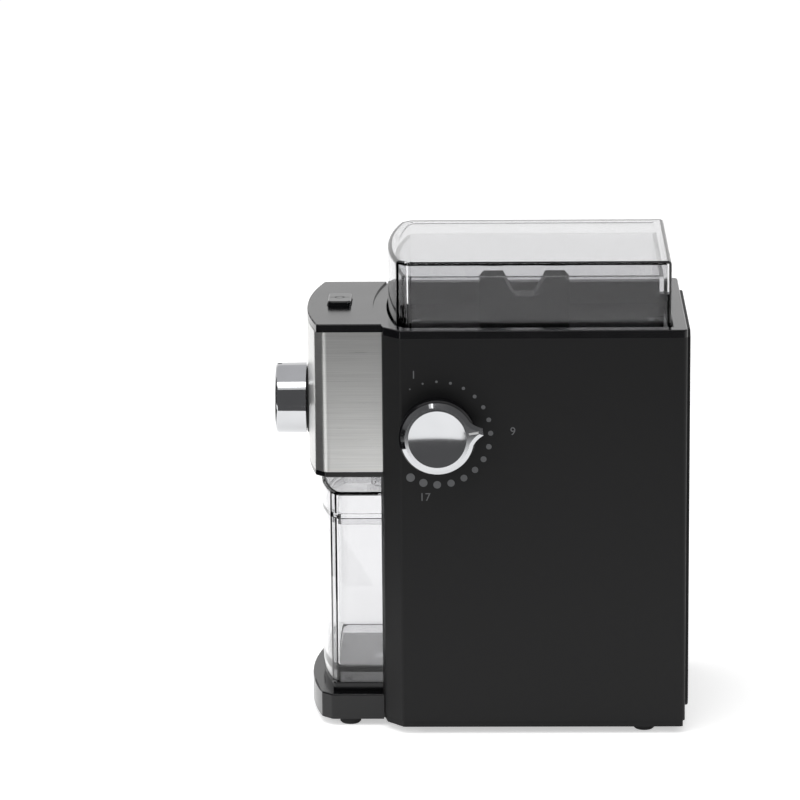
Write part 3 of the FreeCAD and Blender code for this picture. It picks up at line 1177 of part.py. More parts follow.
def rear_cover():
    """Panel on the casing's back, with louvres, posts for the board and the cord's hole."""
    plate = box(BODY_REAR, COVER_BACK, -COVER_HALF, COVER_HALF, COVER_Z0, COVER_Z1)
    corners = [e for e in plate.Edges if abs(abs(e.tangentAt(0).x) - 1) < SAME_WAY]
    plate = plate.makeFillet(COVER_CORNER, corners)
    rim = [e for e in plate.Edges if e.BoundBox.XMin > COVER_BACK - SAME_PLACE]
    plate = plate.makeFillet(FEATURE_EDGE, rim)
    ribs = []
    slots = []
    half = LOUVRE_WIDTH / 2
    for i in range(LOUVRE_COUNT):
        z = LOUVRE_Z + i * LOUVRE_PITCH
        ribs.append(box(COVER_BACK - JOIN, COVER_BACK + LOUVRE_PROUD, -half, half, z + LOUVRE_SLOT,
                        z + 2 * LOUVRE_SLOT))
        slots.append(box(BODY_REAR, FAR, -half, half, z, z + LOUVRE_SLOT))
    lip_x = BODY_REAR - BODY_WALL
    post_y = BOARD_WIDTH / 2 - BOARD_POST_MARGIN
    post_z = BOARD_HEIGHT / 2 - BOARD_POST_MARGIN
    posts = [rod(BOARD_POST_RADIUS, lip_x - BOARD_POST, BODY_REAR + JOIN, X_AXIS, y=y, z=BOARD_Z + z)
             for y in (-post_y, post_y) for z in (-post_z, post_z)]
    cuts = [rod(GLAND_RADIUS, BODY_REAR, FAR, X_AXIS, y=GLAND_Y, z=GLAND_Z)]
    for y, z in REAR_SCREWS:
        cuts.append(rod(SCREW_RADIUS, BODY_REAR, FAR, X_AXIS, y=y, z=z))
        cuts.append(rod(SCREW_HEAD_RADIUS, BODY_REAR + FIT_GAP, FAR, X_AXIS, y=y, z=z))
    return fused([plate.cut(slots)] + ribs + posts).cut(cuts)


def cord_gland():
    """Bushing for the mains cord in the rear cover."""
    sleeve = rod(GLAND_RADIUS, GLAND_BACK - GLAND_LENGTH, COVER_BACK, X_AXIS, y=GLAND_Y, z=GLAND_Z)
    flange = rod(GLAND_FLANGE, COVER_BACK, GLAND_BACK, X_AXIS, y=GLAND_Y, z=GLAND_Z)
    bore = rod(GLAND_BORE, GLAND_BACK - GLAND_LENGTH, GLAND_BACK, X_AXIS, y=GLAND_Y, z=GLAND_Z)
    return fused([sleeve, flange]).cut(bore)


def circuit_board():
    """Board on the rear cover's posts."""
    x1 = BOARD_X + BOARD_THICK
    return box(BOARD_X, x1, -BOARD_WIDTH / 2, BOARD_WIDTH / 2, BOARD_Z - BOARD_HEIGHT / 2,
               BOARD_Z + BOARD_HEIGHT / 2)


def board_parts():
    """Capacitor, relay and terminal block on the board."""
    reach = BOARD_POST
    side = BOARD_WIDTH / 4
    relay = box(BOARD_X - reach, BOARD_X, -side, 0, BOARD_Z, BOARD_Z + side)
    terminal = box(BOARD_X - reach, BOARD_X, -side, side, BOARD_Z - 2 * side, BOARD_Z - side)
    capacitor = rod(side / 2, BOARD_X - 2 * reach, BOARD_X, X_AXIS, y=side, z=BOARD_Z + side / 2)
    return Part.makeCompound([relay, terminal, capacitor])


def drive_cross(start, end, axis=Z_AXIS, x=0.0, y=0.0, z=0.0):
    """Cross recess in a screw's head, between two coordinates on its axis."""
    arm = SCREW_HEAD_RADIUS - DRIVE_INSET
    half = DRIVE_WIDTH / 2
    cross = box(-arm, arm, -half, half, start, end).fuse(box(-half, half, -arm, arm, start, end))
    if axis is X_AXIS:
        cross.rotate(V(0, 0, 0), Y_AXIS, 90)
    cross.translate(V(x, y, z))
    return cross


def bottom_screws():
    """Screws from the bottom plate into the casing's posts."""
    screws = []
    for x, y in SCREW_POSTS:
        head = rod(SCREW_HEAD_RADIUS, FOOT_HEIGHT, FOOT_HEIGHT + SCREW_HEAD_THICK, x=x, y=y)
        shank = rod(SCREW_RADIUS, FOOT_HEIGHT, CASING_Z0 + SCREW_LENGTH - FIT_GAP, x=x, y=y)
        screws.append(head.fuse(shank).cut(drive_cross(FOOT_HEIGHT, FOOT_HEIGHT + DRIVE_DEPTH, x=x, y=y)))
    return Part.makeCompound(screws)


def deck_screws():
    """Screws from the deck into the casing's posts."""
    top = DECK_Z1 + SCREW_HEAD_THICK
    screws = []
    for x, y in SCREW_POSTS:
        head = rod(SCREW_HEAD_RADIUS, DECK_Z1, top, x=x, y=y)
        shank = rod(SCREW_RADIUS, DECK_Z0 - SCREW_LENGTH + FIT_GAP, DECK_Z1, x=x, y=y)
        screws.append(head.fuse(shank).cut(drive_cross(top - DRIVE_DEPTH, top, x=x, y=y)))
    return Part.makeCompound(screws)


def rear_screws():
    """Screws of the rear cover."""
    wall = BODY_REAR - BODY_WALL
    screws = []
    for y, z in REAR_SCREWS:
        head = rod(SCREW_HEAD_RADIUS, BODY_REAR + FIT_GAP, COVER_BACK, X_AXIS, y=y, z=z)
        shank = rod(SCREW_RADIUS, wall - REAR_SCREW_LENGTH + FIT_GAP, COVER_BACK, X_AXIS, y=y, z=z)
        cross = drive_cross(COVER_BACK - DRIVE_DEPTH, COVER_BACK, X_AXIS, y=y, z=z)
        screws.append(head.fuse(shank).cut(cross))
    return Part.makeCompound(screws)


PIECES = [rubber_feet, bottom_plate, base_tray, base_plate, interlock_pin, interlock_spring, interlock_switch,
          body_casing, dock_liner, top_frame, hopper, hopper_seal, hopper_lid, burr_carrier, upper_burr,
          upper_burr_screws, lower_burr, lower_burr_screws, impeller_disc, burr_nut, lift_yoke,
          grind_chamber, chute, motor_shaft, armature, commutator, motor_stator, stator_coils,
          upper_bracket, lower_bracket, upper_bearing, lower_bearing, carbon_brushes, brush_holders,
          cooling_fan, motor_mounts, motor_screws, dial_bush, dial_shaft, dial_skirt, dial_knob, dial_cam,
          head_shell, steel_wrap, head_cover, head_floor, start_button, button_spring, start_switch,
          timer_unit, timer_shaft, portion_bezel, portion_knob, container, container_lid, rear_cover,
          cord_gland, circuit_board, board_parts]
SCREW_SETS = [bottom_screws, deck_screws, rear_screws]

os.makedirs("parts", exist_ok=True)
for piece in PIECES:
    shape = piece()
    shape.translate(FRAME_SHIFT)
    shape.exportStep("parts/%s.step" % piece.__name__)

case_screws = Part.makeCompound([solid for screw_set in SCREW_SETS for solid in screw_set().Solids])
case_screws.translate(FRAME_SHIFT)
case_screws.exportStep("parts/case_screws.step")
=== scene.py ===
"""Looks of an electric burr coffee grinder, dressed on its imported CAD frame.

Metres, +Z up, the head towards -X and the grind dial on the -Y side. Every shape with a real job comes from
the frame. This script gives each of its nodes a finish, adds the printed marks and the wound springs, and
sets up a plain studio.
"""
import logging
import math
from dataclasses import dataclass, field
from enum import Enum

import bmesh
import bpy
from mathutils import Matrix, Vector


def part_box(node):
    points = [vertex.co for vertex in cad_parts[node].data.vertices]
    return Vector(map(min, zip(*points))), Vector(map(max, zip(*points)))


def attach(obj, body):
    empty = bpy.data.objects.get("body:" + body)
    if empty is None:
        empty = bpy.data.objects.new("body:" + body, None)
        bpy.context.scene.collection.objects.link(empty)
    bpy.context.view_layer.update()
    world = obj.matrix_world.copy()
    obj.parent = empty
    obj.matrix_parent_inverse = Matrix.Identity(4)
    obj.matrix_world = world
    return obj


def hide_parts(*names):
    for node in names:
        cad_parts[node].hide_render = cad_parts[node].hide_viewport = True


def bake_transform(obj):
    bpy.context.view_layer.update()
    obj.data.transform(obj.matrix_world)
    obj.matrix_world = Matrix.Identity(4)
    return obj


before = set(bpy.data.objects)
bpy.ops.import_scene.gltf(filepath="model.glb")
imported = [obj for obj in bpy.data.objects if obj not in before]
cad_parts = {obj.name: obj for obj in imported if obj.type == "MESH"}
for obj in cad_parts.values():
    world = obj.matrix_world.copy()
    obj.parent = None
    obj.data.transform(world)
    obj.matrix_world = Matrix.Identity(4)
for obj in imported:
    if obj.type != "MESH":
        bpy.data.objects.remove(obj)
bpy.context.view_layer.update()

logging.basicConfig(level=logging.INFO, format="%(message)s")
LOG = logging.getLogger("grinder")
MM = 0.001
# How far apart the wave texture's bands are at scale 1.
WAVE_LENGTH = math.pi / 10
IMAGE_SIDE = 800
SENSOR_MM = 36.0


class Lines(Enum):
    """Whether a pattern has even lines, and which way they lie."""

    LEVEL = "level"
    NONE = "none"


def linear(colour: str) -> tuple[float, float, float, float]:
    """Turn an sRGB hex colour into linear values.

    Args:
        colour: Six hex digits after a hash.

    Returns:
        Red, green, blue and a full alpha.
    """
    parts = [int(colour[i:i + 2], 16) / 255 for i in (1, 3, 5)]
    flat = [c / 12.92 if c <= 0.04045 else ((c + 0.055) / 1.055) ** 2.4 for c in parts]
    return (flat[0], flat[1], flat[2], 1.0)


def per_metre(size_mm: float) -> float:
    """Texture scale whose features have a given size in millimetres."""
    return 1.0 / (size_mm * MM)


def add_node(tree: bpy.types.NodeTree, kind: str, settings: dict | None = None,
             links: dict | None = None) -> bpy.types.Node:
    """Add one node to a tree, with its settings and links.

    Args:
        tree: The tree that gets the node.
        kind: The node's type name.
        settings: Values by input name or number, or by the node's own property name.
        links: Output sockets by the name or number of the input they feed.

    Returns:
        The new node.
    """
    node = tree.nodes.new(kind)
    for key, value in (settings or {}).items():
        if isinstance(key, int) or key in node.inputs:
            node.inputs[key].default_value = value
        else:
            setattr(node, key, value)
    for key, socket in (links or {}).items():
        tree.links.new(socket, node.inputs[key])
    return node


def blank_material(name: str) -> bpy.types.Material:
    """Make an empty node material.

    Args:
        name: The material's name.

    Returns:
        The material, with no nodes in its tree.
    """
    material = bpy.data.materials.new(name)
    material.use_nodes = True
    material.node_tree.nodes.clear()
    return material


def stretched_noise(tree: bpy.types.NodeTree, size_mm: tuple[float, float, float],
                    detail: float) -> bpy.types.Node:
    """Add a noise pattern with its own size along each axis.

    Args:
        tree: The material's tree.
        size_mm: The size of a feature along X, Y and Z, in millimetres.
        detail: How many finer layers the noise has.

    Returns:
        The noise node.
    """
    place = add_node(tree, "ShaderNodeTexCoord")
    scaled = add_node(tree, "ShaderNodeMapping", {"Scale": [per_metre(size) for size in size_mm]},
                      {"Vector": place.outputs["Object"]})
    return add_node(tree, "ShaderNodeTexNoise", {"Scale": 1.0, "Detail": detail},
                    {"Vector": scaled.outputs["Vector"]})


@dataclass(frozen=True)
class Finish:
    """A surface: a base of two close colours, a roughness range and a fine relief."""

    name: str
    colour: str
    shade: str
    roughness: tuple[float, float]
    grain_mm: tuple[float, float, float]
    relief_mm: float
    metallic: float = 0.0
    ior: float = 1.5
    detail: float = 2.0
    anisotropy: float = 0.0
    transmission: float = 0.0
    coat: float = 0.0
    pitch_mm: float = 0.0
    lines: Lines = Lines.NONE

    def material(self) -> bpy.types.Material:
        """Build the material once, or give the one already made.

        Returns:
            The finish as a node material.
        """
        found = bpy.data.materials.get(self.name)
        if found:
            return found
        material = blank_material(self.name)
        tree = material.node_tree
        height = self.pattern(tree)
        tone = add_node(tree, "ShaderNodeMix",
                        {"data_type": "RGBA", 6: linear(self.colour), 7: linear(self.shade)}, {0: height})
        smooth, dull = self.roughness
        rough = add_node(tree, "ShaderNodeMapRange", {"To Min": smooth, "To Max": dull}, {"Value": height})
        bump = add_node(tree, "ShaderNodeBump", {"Strength": 1.0, "Distance": self.relief_mm * MM},
                        {"Height": height})
        settings = {"Metallic": self.metallic, "Anisotropic": self.anisotropy,
                    "Transmission Weight": self.transmission, "Coat Weight": self.coat}
        if not self.metallic:
            settings["IOR"] = self.ior
        links = {"Base Color": tone.outputs[2], "Roughness": rough.outputs["Result"],
                 "Normal": bump.outputs["Normal"]}
        if self.anisotropy:
            tangent = add_node(tree, "ShaderNodeTangent", {"direction_type": "RADIAL", "axis": "Z"})
            links["Tangent"] = tangent.outputs["Tangent"]
        shader = add_node(tree, "ShaderNodeBsdfPrincipled", settings, links)
        add_node(tree, "ShaderNodeOutputMaterial", None, {"Surface": shader.outputs["BSDF"]})
        return material

    def pattern(self, tree: bpy.types.NodeTree) -> bpy.types.NodeSocket:
        """Add the pattern that drives colour, roughness and relief.

        Args:
            tree: The material's tree.

        Returns:
            A socket that runs from 0 to 1 over the pattern.
        """
        noise = stretched_noise(tree, self.grain_mm, self.detail)
        if self.lines is Lines.NONE:
            return noise.outputs[0]
        place = add_node(tree, "ShaderNodeTexCoord")
        scale = per_metre(self.pitch_mm) * WAVE_LENGTH
        wave = add_node(tree, "ShaderNodeTexWave",
                        {"bands_direction": "Z", "Scale": scale, "Distortion": 0.0},
                        {"Vector": place.outputs["Object"]})
        both = add_node(tree, "ShaderNodeMath", {"operation": "MULTIPLY"},
                        {0: wave.outputs[1], 1: noise.outputs[0]})
        return both.outputs[0]


# ABS moulded in a spark-eroded tool: a fine even grain that scatters light, so black reads as charcoal.
# The grain is about 0.15 mm and is drawn at 0.7 mm to show.
TEXTURED_ABS = Finish("abs_black_spark_grain", "#0d0d0e", "#131314", (0.50, 0.60), (0.7, 0.7, 0.7), 0.02,
                      ior=1.36)
# ABS moulded in a polished tool: black that turns grey where it is seen along its face, with soft reflections
# and the faint waviness that moulding leaves.
POLISHED_ABS = Finish("abs_black_polished", "#08080a", "#0c0c0e", (0.15, 0.22), (14.0, 14.0, 14.0), 0.004,
                      ior=1.43)
# A lighter, glossier copy of the polished ABS for the button, a painted highlight: it is a shade brighter
# than the cover around it where it catches light.
POLISHED_ABS_LIT = Finish("abs_black_polished_lit_copy", "#0c0c0e", "#101012", (0.10, 0.15), (8.0, 8.0, 8.0), 0.003,
                    ior=1.56)
# Plain ABS inside the machine: satin, with no grain worth the tooling.
INNER_ABS = Finish("abs_dark_inner", "#141415", "#1a1a1b", (0.40, 0.50), (3.0, 3.0, 3.0), 0.01)
# Acetal for the sliding bits: pale grey, slightly waxy.
ACETAL = Finish("acetal_grey_moulded", "#a6a6a4", "#aeaeac", (0.35, 0.45), (2.0, 2.0, 2.0), 0.01)
# SAN moulded clear: glass-like, with a hint of flow lines and a slight smoky grey.
CLEAR_SAN = Finish("san_clear_moulded", "#e4e4e5", "#e9e9ea", (0.015, 0.03), (25.0, 25.0, 40.0), 0.004,
                   ior=1.45, transmission=1.0)
# Stainless sheet brushed along its length: long level streaks that smear reflections upwards and downwards.
# Real scratches are about 0.05 mm wide and are drawn at 0.35 mm to show.
BRUSHED_STAINLESS = Finish("stainless_brushed_sheet", "#cbcbc9", "#f4f4f2", (0.24, 0.36), (45.0, 45.0, 0.35),
                           0.006, metallic=1.0, anisotropy=0.7, detail=3.0)
# Bright chrome on ABS: a clear mirror with faint ripples of the moulding under it.
CHROME_PLATE = Finish("chrome_plated_abs", "#bcbdbf", "#c6c7c9", (0.05, 0.08), (12.0, 12.0, 12.0), 0.003,
                      metallic=1.0)
# Moulded rubber: dull, with a chalky bloom.
RUBBER = Finish("rubber_black_moulded", "#1d1d1d", "#2a2a2a", (0.75, 0.90), (1.2, 1.2, 1.2), 0.03)
# Hardened tool steel, ground: close level grinding marks, drawn at 0.4 mm.
GROUND_STEEL = Finish("tool_steel_ground", "#8f9092", "#a5a6a8", (0.22, 0.34), (12.0, 12.0, 0.4), 0.006,
                      metallic=1.0)
# Zinc-plated screw steel: bright with a mottled plate.
ZINC_STEEL = Finish("steel_zinc_plated", "#9a9b9c", "#b4b5b4", (0.25, 0.38), (0.9, 0.9, 0.9), 0.006,
                    metallic=1.0)
# Cold-drawn spring wire: smooth, with long drawing marks.
SPRING_WIRE = Finish("spring_steel_drawn", "#8b8c8e", "#9c9d9f", (0.22, 0.32), (1.0, 1.0, 0.3), 0.004,
                     metallic=1.0)
# Die-cast alloy: satin grey with the cloudy skin that casting leaves.
CAST_ALLOY = Finish("zinc_alloy_die_cast", "#9d9ea0", "#afb0b1", (0.38, 0.52), (2.5, 2.5, 2.5), 0.02,
                    metallic=1.0)
# Stacked electrical sheet: 0.5 mm sheets, drawn at 1 mm so that the edges show.
SHEET_STACK = Finish("silicon_steel_laminated", "#55565a", "#85868a", (0.34, 0.48), (3.0, 3.0, 3.0), 0.08,
                     metallic=1.0, pitch_mm=1.0, lines=Lines.LEVEL)
# Enamelled copper wire, wound: 0.4 mm wire drawn at 0.8 mm, glossy under its varnish.
WOUND_COPPER = Finish("copper_enamelled_wound", "#6d3418", "#b0653a", (0.22, 0.34), (2.0, 2.0, 2.0), 0.15,
                      metallic=1.0, coat=0.6, pitch_mm=0.8, lines=Lines.LEVEL)
# Turned copper of the commutator: bright, with fine turning lines.
TURNED_COPPER = Finish("copper_turned", "#b3683f", "#c57a4e", (0.22, 0.32), (8.0, 8.0, 0.4), 0.006,
                       metallic=1.0)
# Drawn brass of the brush holders: warm yellow, with the fine marks that drawing leaves.
DRAWN_BRASS = Finish("brass_drawn", "#b59249", "#c6a45a", (0.24, 0.34), (6.0, 6.0, 0.5), 0.006,
                     metallic=1.0)
# Pressed carbon: dead matt, speckled.
CARBON = Finish("carbon_pressed", "#262626", "#3a3a3b", (0.70, 0.85), (0.6, 0.6, 0.6), 0.03)
# Glass-epoxy board under green lacquer: the tracks show as paler lines.
CIRCUIT_BOARD = Finish("glass_epoxy_lacquered", "#0f4a26", "#1d6a3a", (0.25, 0.38), (4.0, 4.0, 4.0), 0.03,
                       pitch_mm=2.5, lines=Lines.LEVEL)
# Phenolic of the switches and board parts: dark brown-grey, satin.
PHENOLIC = Finish("phenolic_moulded", "#38342f", "#45403a", (0.40, 0.52), (1.5, 1.5, 1.5), 0.02)
# Pad-printed ink: flat mid grey with the slight speckle of the print.
PRINT_INK = Finish("ink_grey_pad_printed", "#555658", "#616264", (0.55, 0.70), (0.4, 0.4, 0.4), 0.004)
# The same ink in near white, for the mark on the chrome pointer; its whiteness also stands in for the light
# on the slot's upper wall, a painted highlight.
WHITE_INK_AND_HIGHLIGHT = Finish("ink_white_and_painted_highlight", "#c8c8c8", "#d4d4d4", (0.55, 0.70), (0.4, 0.4, 0.4), 0.004)
# The same ink in black, for the mark on the button.
BLACK_INK = Finish("ink_black_pad_printed", "#101011", "#1a1a1b", (0.55, 0.70), (0.4, 0.4, 0.4), 0.004)


def new_piece(name: str, mesh: bmesh.types.BMesh, finish: Finish, body: str | None) -> bpy.types.Object:
    """Turn a built mesh into a dressed piece.

    Args:
        name: The piece's name.
        mesh: The mesh, which is freed.
        finish: What it is made of.
        body: The CAD body that it rides on, or None for a piece that rides on no body.

    Returns:
        The new object.
    """
    bmesh.ops.recalc_face_normals(mesh, faces=mesh.faces)
    data = bpy.data.meshes.new(name)
    mesh.to_mesh(data)
    mesh.free()
    piece = bpy.data.objects.new(name, data)
    bpy.context.scene.collection.objects.link(piece)
    data.materials.append(finish.material())
    if body:
        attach(piece, body)
    LOG.info("piece %s: %d faces, %s", name, len(data.polygons), finish.name)
    return piece


def add_prism(mesh: bmesh.types.BMesh, outline: list[Vector], thickness: Vector) -> None:
    """Add a closed prism to a mesh.

    Args:
        mesh: The mesh that gets the prism.
        outline: The corners of its first face, in order.
        thickness: The way from the first face to the second.
    """
    low = [mesh.verts.new(p) for p in outline]
    high = [mesh.verts.new(p + thickness) for p in outline]
    mesh.faces.new(low)
    mesh.faces.new(list(reversed(high)))
    for i, corner in enumerate(low):
        after = (i + 1) % len(low)
        mesh.faces.new([corner, high[i], high[after], low[after]])


def ring_points(centre: Vector, across: Vector, upward: Vector, radius: float, count: int) -> list[Vector]:
    """Points round a circle.

    Args:
        centre: The circle's centre.
        across: Unit vector to the first point.
        upward: Unit vector a quarter turn further.
        radius: The circle's radius.
        count: How many points.

    Returns:
        The points in order.
    """
    turns = [2 * math.pi * i / count for i in range(count)]
    return [centre + radius * (math.cos(t) * across + math.sin(t) * upward) for t in turns]


@dataclass
class SubAssembly:
    """CAD nodes that belong together, each with its finish."""

    name: str
    nodes: dict[str, Finish]

    def dress(self) -> None:
        """Give each node its finish."""
        for node, finish in self.nodes.items():
            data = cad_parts[node].data
            data.materials.clear()
            data.materials.append(finish.material())
            LOG.info("%s: %s in %s", self.name, node, finish.name)

    def build(self) -> None:
        """Add the pieces that the frame doesn't hold; a plain sub-assembly has none."""


@dataclass
class Dial(SubAssembly):
    """Grind dial with its printed scale of growing dots."""

    dots: int = 17
    dot_circle: float = 27.5 * MM
    half_sweep: float = 121.0
    dot_sizes: tuple[float, float] = (0.85 * MM, 4.5 * MM)
    ink: float = 0.06 * MM
    figure_height: float = 6.0 * MM
    figures: dict[str, tuple[float, float]] = field(
        default_factory=lambda: {"1": (-12.2 * MM, 31.0 * MM), "9": (39.0 * MM, 0.8 * MM),
                                 "17": (-6.8 * MM, -34.3 * MM)})
    rest_angle: float = 9.0
    slot_reach: float = 19.05 * MM
    slot_half: tuple[float, float] = (2.5 * MM, 0.6 * MM)
    slot_floor: float = 1.38 * MM
    slot_fill: float = 0.35 * MM
    sides: int = 32

    def centre(self) -> Vector:
        """Middle of the dial on the casing's near wall."""
        low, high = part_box("dial_skirt")
        return Vector(((low.x + high.x) / 2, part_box("body_casing")[0].y, (low.z + high.z) / 2))

    def build(self) -> None:
        """Add the dots, the figures and the pointer's mark."""
        centre = self.centre()
        outward = Vector((0, -self.ink, 0))
        right, up = Vector((1, 0, 0)), Vector((0, 0, 1))
        dots = bmesh.new()
        for i in range(self.dots):
            share = i / (self.dots - 1)
            angle = math.radians(self.half_sweep * (1 - 2 * share))
            place = centre + self.dot_circle * (math.cos(angle) * right + math.sin(angle) * up)
            radius = (self.dot_sizes[0] + share * (self.dot_sizes[1] - self.dot_sizes[0])) / 2
            add_prism(dots, ring_points(place, right, up, radius, self.sides), outward)
        new_piece("dial_dots", dots, PRINT_INK, "body")
        for text, (along, above) in self.figures.items():
            self.figure(text, centre + along * right + above * up)
        self.pointer_mark(centre)

    def figure(self, text: str, place: Vector) -> None:
        """Print one figure of the scale.

        Args:
            text: The figure.
            place: Its middle on the casing's wall.
        """
        curve = bpy.data.curves.new("figure_" + text, "FONT")
        curve.body = text
        curve.size = self.figure_height
        curve.extrude = self.ink / 2
        curve.align_x = "CENTER"
        curve.align_y = "CENTER"
        drawn = bpy.data.objects.new("figure_" + text, curve)
        bpy.context.scene.collection.objects.link(drawn)
        bpy.context.view_layer.update()
        data = bpy.data.meshes.new_from_object(drawn.evaluated_get(bpy.context.evaluated_depsgraph_get()))
        bpy.data.objects.remove(drawn)
        mesh = bmesh.new()
        mesh.from_mesh(data)
        bpy.data.meshes.remove(data)
        upright = Matrix.Rotation(math.pi / 2, 4, "X")
        moved = Matrix.Translation(place - Vector((0, self.ink / 2, 0))) @ upright
        bmesh.ops.transform(mesh, matrix=moved, verts=mesh.verts)
        new_piece("dial_figure_" + text, mesh, PRINT_INK, "body")

    def pointer_mark(self, centre: Vector) -> None:
        """Lay white ink in the pointer's small slot, partly as a painted highlight for the slot's lit upper
        wall.

        Args:
            centre: Middle of the dial on the casing's wall.
        """
        angle = math.radians(self.rest_angle)
        along = Vector((math.cos(angle), 0, math.sin(angle)))
        across = Vector((-math.sin(angle), 0, math.cos(angle)))
        place = centre + self.slot_reach * along
        place.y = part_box("dial_knob")[0].y + self.slot_floor
        length, width = self.slot_half
        mark = bmesh.new()
        signs = ((-1, -1), (1, -1), (1, 1), (-1, 1))
        corners = [place + i * length * along + j * width * across for i, j in signs]
        add_prism(mark, corners, Vector((0, -self.slot_fill, 0)))
        new_piece("dial_pointer_mark", mark, WHITE_INK_AND_HIGHLIGHT, "dial")


@dataclass
class StartControl(SubAssembly):
    """Start button with a generic ring-and-bar mark on its top."""

    ring_radius: float = 2.3 * MM
    ring_width: float = 0.6 * MM
    bar_length: float = 2.2 * MM
    bar_width: float = 0.6 * MM
    ink: float = 0.05 * MM
    weld: float = 1e-7
    sides: int = 40

    def build(self) -> None:
        """Print the mark on the button."""
        low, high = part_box("start_button")
        top = Vector(((low.x + high.x) / 2, (low.y + high.y) / 2, high.z - self.ink))
        up = Vector((0, 0, self.ink))
        east = Vector((1, 0, 0))
        north = Vector((0, 1, 0))
        mark = bmesh.new()
        outer = ring_points(top, east, north, self.ring_radius + self.ring_width / 2, self.sides)
        inner = ring_points(top, east, north, self.ring_radius - self.ring_width / 2, self.sides)
        for i in range(self.sides):
            after = (i + 1) % self.sides
            add_prism(mark, [outer[i], outer[after], inner[after], inner[i]], up)
        reach = self.ring_radius + self.ring_width
        for side in (-1, 1):
            start = top + side * reach * east
            end = start + side * self.bar_length * east
            across = self.bar_width / 2 * north
            add_prism(mark, [start - across, end - across, end + across, start + across], up)
        bmesh.ops.remove_doubles(mark, verts=mark.verts, dist=self.weld)
        new_piece("button_mark", mark, BLACK_INK, "button")


@dataclass
class CoilSpring:
    """Wound wire spring that stands in the place of a plain sleeve."""

    node: str
    moving_body: str
    turns: float = 5.0
    wire: float = 0.9 * MM
    flat_share: float = 0.14
    steps_per_turn: int = 28
    sides: int = 10

    def build(self) -> None:
        """Wind the spring between the sleeve's ends and hide the sleeve."""
        low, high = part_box(self.node)
        middle = (low + high) / 2
        radius = (high.x - low.x) / 2 - self.wire / 2
        start_z = low.z + self.wire / 2
        rise = high.z - low.z - self.wire
        steps = int(self.turns * self.steps_per_turn)
        mesh = bmesh.new()
        rings = []
        for i in range(steps + 1):
            share = i / steps
            turn = 2 * math.pi * self.turns * share
            # The end turns lie flat, as ground spring ends do.
            climb = min(max((share - self.flat_share) / (1 - 2 * self.flat_share), 0.0), 1.0)
            out = Vector((math.cos(turn), math.sin(turn), 0))
            centre = Vector((middle.x, middle.y, start_z + rise * climb)) + radius * out
            points = ring_points(centre, out, Vector((0, 0, 1)), self.wire / 2, self.sides)
            rings.append([mesh.verts.new(p) for p in points])
        for near, far in zip(rings, rings[1:]):
            for k in range(self.sides):
                after = (k + 1) % self.sides
                mesh.faces.new([near[k], near[after], far[after], far[k]])
        mesh.faces.new(rings[0])
        mesh.faces.new(list(reversed(rings[-1])))
        for face in mesh.faces:
            face.smooth = True
        piece = new_piece(self.node + "_coil", mesh, SPRING_WIRE, None)
        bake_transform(piece)
        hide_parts(self.node)


